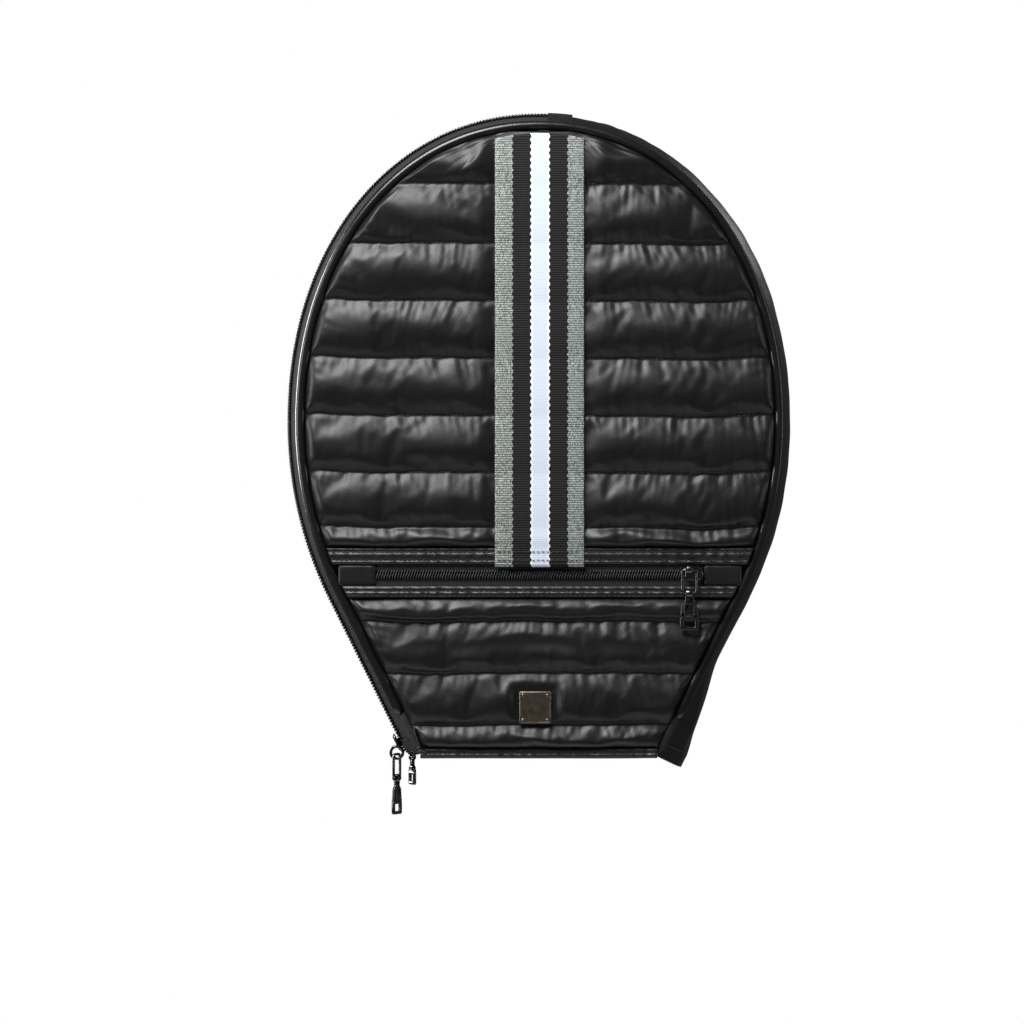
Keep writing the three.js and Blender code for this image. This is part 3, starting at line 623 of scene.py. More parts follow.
# ---------------------------------------------------------------- padded cloth
def inflate(obj, pins, pressure=4.0, grow=0.04, cap=9.0, frames=20):
    """Blows a closed cloth piece up with Blender's cloth, holding its pinned points, and keeps
    every point within cap millimetres of where it started."""
    start = read_points(obj)
    group = obj.vertex_groups.new(name="pins")
    for weight in np.unique(pins):
        if weight > 0:
            group.add(np.flatnonzero(pins == weight).tolist(), float(weight), "REPLACE")
    cloth = obj.modifiers.new("Cloth", "CLOTH")
    s = cloth.settings
    s.quality, s.mass, s.air_damping = 5, 0.3, 1.0
    s.tension_stiffness = s.compression_stiffness = 15
    s.shear_stiffness, s.bending_stiffness = 5, 0.05
    s.use_pressure, s.uniform_pressure_force = True, pressure
    s.vertex_group_mass, s.pin_stiffness = "pins", 1.0
    s.effector_weights.gravity = 0
    s.shrink_min = -grow
    cloth.collision_settings.use_collision = False
    cloth.point_cache.frame_start, cloth.point_cache.frame_end = 1, frames
    scene = bpy.context.scene
    for frame in range(1, frames + 1):
        scene.frame_set(frame)
    ready = obj.evaluated_get(bpy.context.evaluated_depsgraph_get())
    moved = np.zeros(len(ready.data.vertices) * 3)
    ready.data.vertices.foreach_get("co", moved)
    obj.modifiers.remove(cloth)
    scene.frame_set(1)
    shift = moved.reshape(-1, 3) - start
    length = np.linalg.norm(shift, axis=1)[:, None] + 1e-12
    limit = cap / 1000
    write_points(obj, start + shift / length * limit * np.tanh(length / limit))
    obj.vertex_groups.clear()
    return obj


def read_points(obj):
    """A mesh's points as an array."""
    co = np.zeros(len(obj.data.vertices) * 3)
    obj.data.vertices.foreach_get("co", co)
    return co.reshape(-1, 3)


def write_points(obj, points):
    """Puts an array of points back into a mesh."""
    obj.data.vertices.foreach_set("co", np.asarray(points, float).ravel())
    obj.data.update()


def refine(obj, levels=1):
    """Applies Catmull-Clark subdivision to the mesh."""
    sub = obj.modifiers.new("Subdivision", "SUBSURF")
    sub.levels = sub.render_levels = levels
    ready = obj.evaluated_get(bpy.context.evaluated_depsgraph_get())
    mesh = bpy.data.meshes.new_from_object(ready)
    obj.modifiers.clear()
    old, obj.data = obj.data, mesh
    mesh.name = obj.name
    bpy.data.meshes.remove(old)
    mesh.shade_smooth()
    return obj


def seam_wave(x, seed):
    """How far a quilting seam strays from level: a slow wave and a lift towards the side edges."""
    return 0.9 * random_wave(x, seed, 0.01, 0.08, 6) + 2.2 * smooth((np.abs(x) - 95) / 60)


def quilt_rows(low, high, seams, step=2.9, round_top=False):
    """Row heights from low to high with a row on every seam, and the share of its channel that
    each row is at, 0 and 1 on the seams. A round top gets closer rows towards its end."""
    marks = [low, *sorted(seams), high]
    heights, shares = [], []
    for k in range(len(marks) - 1):
        count = max(4, int(math.ceil((marks[k + 1] - marks[k]) / step)))
        t = np.linspace(0, 1, count + 1)[: None if k == len(marks) - 2 else -1]
        rise = np.sin(t * math.pi / 2) if round_top and k == len(marks) - 2 else t
        heights.append(marks[k] + rise * (marks[k + 1] - marks[k]))
        shares.append(t)
    return np.concatenate(heights), np.concatenate(shares)


def quilt(name, low, high, seams, facing, inset=PANEL_INSET, puff=5.0, stripe=0.0, round_top=False,
          cols=104, seed=1, cap=5.0, grow=0.012, pressure=5.0):
    """A quilted panel. Its outer face is a function of u across and v up: x is u times the half
    width of the outline at the height of v, and the depth rises in each channel as a power of a
    sine between its seams. It is sewn to a flat backing along its seams and its edge, blown up as
    cloth, refined, and puckered along the seams by waves that die away from them."""
    heights, shares = quilt_rows(low, high, seams, round_top=round_top)
    u = np.linspace(-1, 1, cols + 1)
    width = half_width(heights, inset)
    x = u[None] * width[:, None]
    z = np.repeat(heights[:, None], cols + 1, 1)
    inner_rows = smooth((z - low) / 8) * smooth((high - z) / 8)
    z = z + seam_wave(x, seed) * inner_rows * smooth((width[:, None] - np.abs(x)) / 14 + 0.35)
    edge = np.minimum(width[:, None] - np.abs(x), 40)
    crown = 1.6 * smooth(edge / 40)
    swell = np.sin(math.pi * np.clip(shares, 0, 1) ** 0.74)[:, None] ** 0.72
    arch = swell * smooth((edge + 1) / 6) * (0.45 + 0.55 * smooth((np.abs(x) - stripe) / 11) if stripe else 1.0)
    held = np.abs(x) < stripe - 2.4
    flat = QUILT_DEPTH + crown + np.where(held, 1.0, 0.0)
    arch = np.where(held, 0.0, arch)
    uneven = 1 + 0.10 * random_wave(x + 40 * shares[:, None], seed + 7, 0.02, 0.12, 8)
    outer_depth = flat + puff * arch * uneven
    outer = np.stack([x, facing * outer_depth, z], -1)
    inner = np.stack([x, np.full_like(x, facing * BACKING_DEPTH), z], -1)
    obj = shell(name, outer, inner)
    count = x.size
    seam_rows = (shares[:, None] == 0) | (shares[:, None] == 1)
    border = np.zeros_like(x, bool)
    border[[0, -1]] = border[:, [0, -1]] = True
    pins = np.concatenate([np.where(seam_rows | border | held, 1.0, 0.0).ravel(), np.ones(count)])
    inflate(obj, pins, pressure=pressure, grow=grow, cap=cap)
    refine(obj, 1)
    pucker(obj, seams, facing, seed, stripe)
    return obj


def pucker(obj, seams, facing, seed, stripe=0.0):
    """Fine gathers along the seams: a random wave in x, different above and below each seam, that
    fades within about 9 mm of it and near the flat backing."""
    points = read_points(obj) * 1000 + HOOK
    x, depth, z = points.T
    push = np.zeros_like(x)
    for k, seam in enumerate(seams):
        line = seam + seam_wave(x, seed)
        for side in (-1, 1):
            away = side * (z - line)
            fade = np.exp(-np.abs(away) / 9.0) * smooth(np.abs(away) / 1.4) * (away > 0)
            lean = x + 0.3 * side * away * random_wave(x, seed + k, 0.02, 0.08, 5)
            size = 0.42 + 0.2 * random_wave(x, seed * 9 + k, 0.01, 0.06, 6) + 0.16 * smooth(x / 90)
            push += fade * size * random_wave(lean, seed * 50 + k * 2 + side, 0.25, 1.5, 20)
            push -= 0.55 * np.exp(-((away / 0.9) ** 2)) * 0.5
    edge = half_width(z, PANEL_INSET) - np.abs(x)
    edge_folds = random_wave(z + 0.35 * edge, seed + 77, 0.4, 1.7, 16)
    push += 0.42 * np.exp(-np.clip(edge, 0, 60) / 7) * smooth(edge / 2) * edge_folds
    free = smooth((facing * depth - 26.2) / 1.2)
    if facing < 0:
        pad = smooth((19 - np.maximum(np.abs(x - BADGE[0]), np.abs(z - BADGE[1]))) / 8)
        over = np.maximum(-depth - BADGE_FACE, 0)
        points[:, 1] += over * pad
    if stripe:
        free = free * smooth((np.abs(x) - stripe + 1.5) / 3)
    points[:, 1] += facing * push * free
    if facing < 0:
        way = smooth((z + 152) / 12) * (z < -105)
        points[:, 1] += np.maximum(-points[:, 1] - PULL_CLEARANCE, 0) * way
    write_points(obj, placed(points))
    return obj


# ---------------------------------------------------------------- bands, hems and linings
def panel_band(name, low, high, depth, thick, facing=-1, inset=PANEL_INSET, left=None, right=None,
               round_low=1.0, round_high=1.0, ripple=0.3, seed=1, step=3.0, rows=9, sag=0.0, dips=(),
               pinch=1.1):
    """A band of cloth across a panel between two heights. Its outer face is flat across v with its
    two long edges rolled back over a quarter circle, rippled by a random wave along x, and drawn
    in along each height in dips. It ends on the outline, or at left and right if given."""
    v = np.linspace(0, 1, rows)
    z = low + (high - low) * v
    width = half_width(z, inset)
    x0 = -width if left is None else np.full(rows, left)
    x1 = width if right is None else np.full(rows, right)
    cols = max(6, int(abs(x1[0] - x0[0]) / step))
    u = np.linspace(0, 1, cols + 1)
    x = x0[:, None] + (x1 - x0)[:, None] * u[None]
    from_low, from_high = (z - low)[:, None], (high - z)[:, None]
    roll = (round_low * (1 - np.sqrt(np.clip(from_low / 2.4, 0, 1)))
            + round_high * (1 - np.sqrt(np.clip(from_high / 2.4, 0, 1))))
    wave = ripple * random_wave(x, seed, 0.05, 0.9, 14) * np.sin(math.pi * v)[:, None]
    for k, dip in enumerate(dips):
        away = z[:, None] - dip
        wave = wave - pinch * np.exp(-((away / 0.9) ** 2))
        beside = np.exp(-((np.abs(away) - 1.6) / 1.2) ** 2)
        wave = wave + 0.3 * random_wave(x, seed + 30 + k, 0.6, 1.9, 16) * beside
    zz = z[:, None] + sag * random_wave(x, seed + 3, 0.01, 0.1, 6)
    outer = np.stack([x, facing * (depth + wave - roll), zz], -1)
    inner = np.stack([x, np.full_like(x, facing * (depth - thick)), zz], -1)
    return refine(shell(name, outer, inner), 1)


def panel_sheet(name, facing, depth, low, high, seed, thick=0.7, step=6.0, inset=PANEL_INSET, wave=0.5):
    """A thin sheet inside the rim's outline: x is u times the half width at its height, and the
    depth is level with a slow random wave."""
    t = np.linspace(0, 1, int((high - low) / step))
    z = low + (high - low) * np.sin(t * math.pi / 2)
    u = np.linspace(-1, 1, 52)
    x = u[None] * half_width(z, inset)[:, None]
    zz = np.repeat(z[:, None], 52, 1)
    lift = wave * random_wave(x * 0.7 + zz, seed, 0.02, 0.2, 8) * random_wave(zz, seed + 5, 0.02, 0.2, 8)
    outer = np.stack([x, facing * (depth + lift), zz], -1)
    inner = outer - np.array([0, facing * thick, 0])
    return shell(name, outer, inner)


def level_row(z, facing, depth, left=None, right=None, inset=PANEL_INSET + 2.5, step=2.0):
    """Points along a level line on a panel from one side of the outline to the other."""
    width = float(half_width(np.array([z]), inset)[0])
    x = np.arange(-width if left is None else left, width if right is None else right, step)
    return np.stack([x, np.full_like(x, facing * depth), np.full_like(x, z)], -1)


# ---------------------------------------------------------------- things carried round the rim
def rim_frame(stations):
    """Points on the rim with their directions in, out and along, for a section carried round it."""
    x, z, nx, nz = rim(stations)
    flat = np.zeros_like(x)
    path = np.stack([x, flat, z], -1)
    outward = np.stack([nx, flat, nz], -1)
    across = np.broadcast_to(np.array([0.0, 1.0, 0.0]), path.shape)
    return path, across, outward


def even_stations(first, last, step):
    """Stations from first to last, spaced evenly along the rim's length."""
    s = np.linspace(first, last, 1500)
    x, z, _, _ = rim(s)
    run = np.r_[0, np.cumsum(np.hypot(np.diff(x), np.diff(z)))]
    count = max(2, int(run[-1] / step))
    return np.interp(np.linspace(0, run[-1], count + 1), run, s), run[-1]


def rim_tube(name, depth, inset, radius, first, last, step=3.0, seed=1, swell=0.025):
    """A cord carried round the rim at a depth and inset: a round section with a slow random
    swelling, drawn to a point at its two ends."""
    stations, length = even_stations(first, last, step)
    path, across, outward = rim_frame(stations)
    run = np.linspace(0, length, len(stations))
    size = radius * (1 + swell * random_wave(run, seed, 0.05, 0.6 + 6 * swell, 10))
    size *= np.sqrt(np.clip(np.minimum(run + 0.4, length - run + 0.4) / 5.0, 0, 1))
    centre = path + depth * across - inset * outward
    section = circle(1.0, 14)[None] * size[:, None, None]
    return tube(name, swept_points(centre, across, outward, section))


def rim_band(name, front, back, thick, first, last, lift=0.0, step=4.0, cols=9, wrinkle=None):
    """A band of cloth round the rim between two depths: the outer face is the gusset's bulge plus
    wrinkle, a function of the run along the rim, the depth and the station."""
    stations, length = even_stations(first, last, step)
    path, across, outward = rim_frame(stations)
    depth = np.linspace(front, back, cols)
    run = np.linspace(0, length, len(stations))
    out = np.broadcast_to(lift - bulge(depth)[None], (len(stations), cols)).copy()
    if wrinkle:
        out = out + wrinkle(run[:, None], depth[None], np.abs(stations)[:, None])
    outer = path[:, None] + depth[None, :, None] * across[:, None] + out[..., None] * outward[:, None]
    return shell(name, outer, outer - thick * outward[:, None])


def rim_teeth(depth, side, first, last, phase=0.0, reach=3.5, proud=1.0):
    """One half of a zip's coil round the rim: a bead across the zip at every pitch, its outer end
    thicker where the coil turns back."""
    stations, _ = even_stations(first, last, size_mm("rim_coil_pitch"))
    stations = stations[:-1] + phase * np.diff(stations)
    path, across, outward = rim_frame(stations)
    unit, faces = bead(reach, 1.35, 1.7, rings=5, sides=7)
    thick = 1 + 0.25 * np.clip(unit[:, :1] * side / reach, -0.5, 0.5) * 2
    unit = unit * np.concatenate([np.ones_like(thick), thick, thick], 1)
    along = np.cross(outward, across)
    lean = across + 0.16 * side * along
    lean /= np.linalg.norm(lean, axis=1)[:, None]
    at = path + depth * across + (proud - bulge(depth)) * outward
    return repeated(unit, faces, at, lean, np.cross(outward, lean), outward)


# ---------------------------------------------------------------- metal pieces
def plate_arrays(outline, depths, insets):
    """A plate as stacked copies of an outline: at each depth the outline is moved in by that
    inset along its own normals. A second, smaller copy at each end keeps the closing faces flat."""
    depths = [depths[0], *depths, depths[-1]]
    insets = [insets[0] + 0.25, *insets, insets[-1] + 0.25]
    ahead, behind = np.roll(outline, -1, 0), np.roll(outline, 1, 0)
    run = ahead - behind
    normal = np.stack([run[:, 1], -run[:, 0]], -1)
    normal /= np.linalg.norm(normal, axis=1)[:, None] + 1e-9
    if ((outline - outline.mean(0)) * normal).sum() < 0:
        normal = -normal
    rings = [np.insert(outline - inset * normal, 1, depth, axis=1) for depth, inset in zip(depths, insets)]
    return tube_arrays(np.array(rings))


def frame_arrays(outer, inner, near, far, edge):
    """A flat frame between two outlines with the same number of points: a section with eased
    corners, carried round and closed on itself."""
    rest = 1 - edge
    t = np.array([[0, edge], [edge, 0], [rest, 0], [1, edge], [1, rest], [rest, 1], [edge, 1], [0, rest]])
    mid = outer[:, None] * (1 - t[None, :, :1]) + inner[:, None] * t[None, :, :1]
    depth = np.broadcast_to(near + (far - near) * t[None, :, 1:], mid[..., :1].shape)
    rings = np.concatenate([mid[..., :1], depth, mid[..., 1:]], -1)
    return tube_arrays(rings, closed=True)


def rounded_loop(width, height, radius, arc=5):
    """A rectangle with round corners as points [x, z]."""
    return rounded_section(width, height, radius, arc)


def wire_arrays(width, height, wire, corner=2.4):
    """A closed wire loop in x and z: a round section carried round a rectangle with round
    corners, centred."""
    loop = rounded_loop(width - wire, height - wire, corner, 6)
    path = np.insert(loop, 1, 0.0, axis=1)
    ahead = np.roll(path, -1, 0) - np.roll(path, 1, 0)
    ahead /= np.linalg.norm(ahead, axis=1)[:, None]
    across = np.broadcast_to(np.array([0.0, 1.0, 0.0]), path.shape)
    rings = swept_points(path, across, np.cross(ahead, across), circle(wire / 2, 10))
    return tube_arrays(rings, closed=True)


def tab_outline(length, count=30):
    """Half widths down a pull tab's blade: a narrow neck that widens towards the foot, as points
    [x, z] going round."""
    marks = np.array([1.4, 1.9, 5.0, 7.2, length - 0.6, length])
    widths = np.array([2.2, 2.9, 2.9, 4.9, 5.8, 5.6])
    z = np.linspace(1.4, length, count)
    right = np.stack([np.interp(z, marks, widths), -z], -1)
    return np.concatenate([right, right[::-1] * np.array([-1, 1])])


def moved(arrays, origin, turn=0.0):
    """Points turned about z by an angle and moved to an origin, with their faces."""
    points, faces = arrays
    c, s = math.cos(turn), math.sin(turn)
    turned = points @ np.array([[c, s, 0], [-s, c, 0], [0, 0, 1]])
    return turned + np.asarray(origin, float), faces


def pull_parts(name, pivot, turn, width=11.0, drop=15.2, length=23.5):
    """A pull: a wire bail hanging from its pivot, and a tapered tab with an eye round the bail's
    foot, a framed panel on its blade and an open window near its foot."""
    bail = moved(offset(wire_arrays(width, drop + 1.8, 1.8), (0, 0, -drop / 2)), pivot, turn)
    bail = outwards(joined(name + "_bail_wire", [bail]))
    depths, insets = [-0.95, -0.9, -0.6, 0.6, 0.9, 0.95], [1.1, 0.35, 0.0, 0.0, 0.35, 1.1]
    blade = plate_arrays(tab_outline(length - 7.9), depths, insets)
    window = frame_arrays(rounded_loop(12, 8.6, 1.3, 4), rounded_loop(7.4, 4.6, 0.7, 4), -0.95, 0.95, 0.14)
    window = offset(window, (0, 0, 4.3 - length))
    middle = -0.5 * length + 1.4
    high = min(8.0, length - 14.5)
    outer, inner = rounded_loop(7.2, high, 0.8, 4), rounded_loop(5.6, high - 1.6, 0.5, 4)
    panels = [offset(frame_arrays(outer, inner, near, near + 0.6, 0.2), (0, 0, middle)) for near in (-1.3, 0.7)]
    eye_width = (width - 5.2) / 2
    eye_section = circle(0.75, 8) * np.array([eye_width / 0.75, 1.0])
    eye = tube_arrays(swept_points(*eye_path(1.85), eye_section), closed=True)
    parts = [moved(offset(a, (0, 0, -drop)), pivot, turn) for a in (blade, window, eye, *panels)]
    tab = outwards(joined(name + "_tab_plate", parts))
    for obj, node in ((bail, name + "_bail"), (tab, name + "_tab")):
        finish_with(obj, "dark_nickel", node, (node,))


def offset(arrays, by):
    """Points moved by a distance, with their faces."""
    return arrays[0] + np.asarray(by, float), arrays[1]


def eye_path(radius, count=18):
    """A circle in y and z with the directions across (x) and outward at each point."""
    t = np.arange(count) * 2 * math.pi / count
    outward = np.stack([np.zeros(count), np.cos(t), np.sin(t)], -1)
    across = np.broadcast_to(np.array([1.0, 0.0, 0.0]), outward.shape)
    return outward * radius, across, outward


def slider_arrays(length, width, outer, thick):
    """A zip slider's outer plate: a waisted shield outline, domed in steps, in x along the zip and
    z across it, its under side at depth outer."""
    t = np.arange(48) * 2 * math.pi / 48
    r = (np.abs(np.cos(t)) ** 3.2 + np.abs(np.sin(t)) ** 3.2) ** (-1 / 3.2)
    x, z = r * np.cos(t) * length / 2, r * np.sin(t) * width / 2
    z = z * (1 - 0.16 * np.clip(x / length, 0, 0.5) * 2)
    outline = np.stack([x, z], -1)
    return plate_arrays(outline, [outer, outer - 0.3, outer - thick * 0.6, outer - thick * 0.9, outer - thick],
                        [0.4, 0.0, 0.1, 0.6, 1.6])


def lug_arrays(radius, hole, width):
    """A ring with its hole along z: a section with eased corners carried round a circle in x
    and y."""
    t = np.arange(28) * 2 * math.pi / 28
    outward = np.stack([np.cos(t), np.sin(t), np.zeros_like(t)], -1)
    across = np.broadcast_to(np.array([0.0, 0.0, 1.0]), outward.shape)
    section = rounded_section(width, radius - hole, (radius - hole) * 0.45)
    return tube_arrays(swept_points(outward * (radius + hole) / 2, across, outward, section), closed=True)


# ---------------------------------------------------------------- operators
class RACKETBAG_OT_finishes(bpy.types.Operator):
    """Makes the cloth, tape, thread, coating and metal materials."""
    bl_idname = "racketbag.finishes"
    bl_label = "Finishes"

    def execute(self, context):
        weave, wear = weave_group(), wear_group()
        MATERIALS.update(
            glossy_nylon=make_nylon("glossy_nylon", colour("nylon"), 0.42, weave, wear),
            hem_nylon=make_nylon("hem_nylon", colour("hem"), 0.38, weave, wear, crease=0.0003),
            piping=make_coated("coated_piping", colour("piping"), 0.26, wear),
            coil=make_coated("zip_coil", colour("coil"), 0.3, wear, 1400.0),
            tape=make_ribbed("zip_tape", (0.007, 0.007, 0.0075), (0.018, 0.018, 0.019), 0.85, 4200.0, weave,
                             0.9),
            stripe=make_stripe(weave),
            lining=make_nylon("plain_lining", colour("lining"), 0.6, weave, wear, crease=0.0003),
            webbing=make_ribbed("webbing", colour("webbing_dark"), colour("webbing_light"), 0.75, 2600.0,
                                weave),
            thread=make_ribbed("thread", (0.02, 0.02, 0.021), colour("thread"), 0.42, 9000.0, weave, 1.0),
            dark_nickel=make_metal("dark_nickel", colour("nickel"), 0.2, wear),
            bronze=make_metal("brown_gunmetal", colour("bronze"), 0.3, wear, (1, 1, 14), 0.00002),
        )
        return {"FINISHED"}


class RACKETBAG_OT_front_quilts(bpy.types.Operator):
    """Builds the quilted front panel above and below the pocket."""
    bl_idname = "racketbag.front_quilts"
    bl_label = "Front quilts"

    def execute(self, context):
        puff = size_mm("front_puff")
        upper = quilt("front_quilt_upper", BAND_SEAM + 0.4, PANEL_TOP, SEAMS_UPPER, -1, puff=puff,
                      stripe=STRIPE_HALF, round_top=True, seed=UPPER_SEED)
        lower = quilt("front_quilt_lower", HEM_TOP + 0.4, LOWER_QUILT_TOP, SEAMS_LOWER, -1, puff=puff,
                      cols=92, seed=LOWER_SEED)
        for obj, which in ((upper, "upper"), (lower, "lower")):
            finish_with(obj, "glossy_nylon",
                        replaces=("quilt_%s_flap" % which, "quilt_%s_fixed" % which))
            fold(obj)
        return {"FINISHED"}


class RACKETBAG_OT_stripe(bpy.types.Operator):
    """Builds the woven stripe down the middle of the front: a strip that swells a little between
    the quilting seams and is level across."""
    bl_idname = "racketbag.stripe"
    bl_label = "Stripe"

    def execute(self, context):
        z = np.r_[np.arange(-92.8, 180, 2.2), 181.5, 183.5, 185.0]
        x = np.array([-28.8, -28.5, -27.2, -22, -15, -8, 0, 8, 15, 22, 26.6, 27.9, 28.2])
        marks = np.array(sorted((*SEAMS_UPPER, BAND_SEAM, -95.0, 190.0)))
        k = np.clip(np.searchsorted(marks, z) - 1, 0, len(marks) - 2)
        share = (z - marks[k]) / (marks[k + 1] - marks[k])
        swell = 0.6 * np.sin(math.pi * np.clip(share, 0, 1) ** 0.8) ** 0.7
        edge = smooth((28.9 - np.abs(x + 0.3)) / 1.6)
        z = z[:, None]
        depth = 32.4 + swell[:, None] * smooth((z - BAND_SEAM) / 6) + 0.35 * edge[None]
        depth = depth - 1.2 * smooth((z - 150) / 36)
        drop = 3.4 * (x[None] / 28) ** 2 * smooth((z - 150) / 35)
        outer = np.stack(np.broadcast_arrays(x[None], -depth, z - drop), -1)
        obj = shell("stripe", outer, outer + np.array([0, 0.95, 0]))
        finish_with(obj, "stripe", replaces=("stripe_flap", "stripe_fixed"))
        fold(obj)
        return {"FINISHED"}


class RACKETBAG_OT_pocket(bpy.types.Operator):
    """Builds the pocket's welts, zip tapes, teeth, end tabs and bag."""
    bl_idname = "racketbag.pocket"
    bl_label = "Pocket"

    def execute(self, context):
        top, foot = POCKET_ZIP + 6.6, POCKET_ZIP - 7.2
        upper = panel_band("pocket_welt_upper", top - 0.2, BAND_SEAM + 0.6, 31.4, 5.7, round_low=1.6,
                           round_high=1.2, seed=21, rows=24, step=1.6, dips=UPPER_WELT_ROWS)
        lower = panel_band("pocket_welt_lower", -112.6, foot + 0.3, 31.5, 5.8, round_low=1.0,
                           round_high=1.6, seed=22, rows=18, step=1.6, dips=LOWER_WELT_ROWS, pinch=0.8)
        for obj, which in ((upper, "upper"), (lower, "lower")):
            finish_with(obj, "hem_nylon",
                        replaces=("pocket_welt_%s_flap" % which, "pocket_welt_%s_fixed" % which))
            fold(obj)
        for side, which in ((1, "upper"), (-1, "lower")):
            edge = top if side > 0 else foot
            low, high = sorted((POCKET_ZIP + side * 2.0, edge + side * 0.4))
            tape = panel_band("pocket_zip_tape_" + which, low, high, 28.5, 0.7, left=-POCKET_TAPE_END,
                              right=POCKET_TAPE_END, round_low=0.0, round_high=0.0, ripple=0.05,
                              seed=23 + side, rows=5)
            finish_with(tape, "tape",
                        replaces=("pocket_zip_%s_flap" % which, "pocket_zip_%s_fixed" % which))
            fold(tape)
            pitch = size_mm("pocket_coil_pitch")
            at = np.arange(-104.5, 92.5, pitch) + (pitch / 2 if side > 0 else 0)
            origin = np.stack([at, np.full_like(at, -29.3), np.full_like(at, POCKET_ZIP + side * 1.25)], -1)
            unit, faces = bead(4.0, 1.15, 1.5, rings=4, sides=7)
            along = np.broadcast_to(np.array([0.22, 0.0, 1.0]) / math.hypot(0.22, 1), origin.shape)
            out = np.broadcast_to(np.array([0.0, -1.0, 0.0]), origin.shape)
            beads = repeated(unit, faces, origin, along, np.cross(out, along), out)
            teeth = outwards(joined("pocket_zip_teeth_" + which, [beads]))
            finish_with(teeth, "coil")
            fold(teeth)
        for side, which in ((-1, "left"), (1, "right")):
            width = float(half_width(np.array([POCKET_ZIP]), PANEL_INSET + 0.8)[0])
            ends = sorted((side * (POCKET_TAPE_END - 0.1), side * width))
            tab = panel_band("pocket_end_tab_" + which, foot - 0.2, top + 0.2, 29.8, 4.2, left=ends[0],
                             right=ends[1], round_low=0.6, round_high=0.6, seed=31 + side)
            finish_with(tab, "hem_nylon", replaces=("pocket_end_tab_" + which,))
            fold(tab)
        bag = panel_band("pocket_bag", -198.0, top, 24.6, 1.2, left=-76.0, right=76.0, round_low=0.2,
                         round_high=0.2, seed=35, rows=20)
        finish_with(bag, "lining", replaces=("pocket_bag_flap", "pocket_bag_fixed"))
        fold(bag)
        return {"FINISHED"}


class RACKETBAG_OT_badge(bpy.types.Operator):
    """Builds the plain badge plate and the domes of its four rivets: each dome is a quarter
    circle turned about its axis."""
    bl_idname = "racketbag.badge"
    bl_label = "Badge"

    def execute(self, context):
        x0, z0, face = *BADGE, -BADGE_FACE - 0.4
        outline = rounded_loop(20.6, 20.6, 0.8, 4)
        plate = plate_arrays(outline, [face + 0.3, face, face - 0.9, face - 1.2], [0.4, 0.0, 0.0, 0.35])
        rim_line = frame_arrays(rounded_loop(19.2, 19.2, 0.7, 4), rounded_loop(18.4, 18.4, 0.5, 4),
                                face - 1.05, face - 1.34, 0.25)
        obj = outwards(joined("badge_plate", [offset(a, (x0, 0, z0)) for a in (plate, rim_line)]))
        finish_with(obj, "bronze", "flap", ("badge_plate",))
        radius, height, reach, sides = 1.15, 0.85, 7.9, 14
        around = np.arange(sides) * 2 * math.pi / sides
        rings = np.array([np.stack([radius * math.cos(a) * np.cos(around),
                                    np.full(sides, face - 1.1 - height * math.sin(a)),
                                    radius * math.cos(a) * np.sin(around)], -1)
                          for a in np.linspace(0, math.pi / 2, 6)[:-1]])
        for k, (sx, sz) in enumerate(((-1, -1), (1, -1), (1, 1), (-1, 1))):
            node = "badge_rivet_%d" % (k + 1)
            dome = offset(tube_arrays(rings), (x0 + sx * reach, 0, z0 + sz * reach))
            dome = outwards(joined(node + "_dome", [dome]))
            finish_with(dome, "bronze", "flap", (node,))
        return {"FINISHED"}


class RACKETBAG_OT_pipings(bpy.types.Operator):
    """Builds the piping cords round the front and the back panel."""
    bl_idname = "racketbag.pipings"
    bl_label = "Pipings"

    def execute(self, context):
        radius = size_mm("piping_radius")
        front = rim_tube("front_piping", -PIPING_DEPTH, PIPING_INSET, radius, station_at(-194),
                         -station_at(-191), seed=41)
        finish_with(front, "piping", replaces=("front_piping_flap", "front_piping_fixed"))
        fold(front)
        back = rim_tube("back_piping_cord", PIPING_DEPTH, PIPING_INSET, radius, station_at(-213),
                        -station_at(-213), seed=42)
        finish_with(back, "piping", "shell", ("back_piping",))
        return {"FINISHED"}


def gusset_folds(run, depth, station):
    """Soft folds in the side gusset: slanting gathers near the top that fade by a quarter of the
    way down, small ripples everywhere, and deeper folds near the mouth."""
    gathers = 0.5 * random_wave(run + 0.8 * depth, 51, 0.12, 0.8, 12) * smooth(1 - station / 0.5)
    small = 0.5 * random_wave(run + 0.9 * depth, 55, 0.9, 2.0, 12) * smooth(1 - station / 0.7)
    gathers = gathers + small * smooth(-(depth + 8) / 8)
    ripples = 0.35 * random_wave(run + 0.35 * depth, 52, 0.04, 0.3, 12)
    mouth = 1.7 * random_wave(run * 0.5 + depth * 0.6, 53, 0.05, 0.3, 8) * smooth((station - 2.0) / 0.7)
    spread = flare(station) * smooth((GUSSET_EDGE + 1 - np.abs(depth)) / 9)
    return (gathers + ripples + mouth) * smooth((GUSSET_EDGE + 1 - np.abs(depth)) / 7) + spread


def flare(station):
    """How far the side gusset stands out towards the mouth, in millimetres."""
    return 8.5 * smooth((station - 2.35) / 0.55)


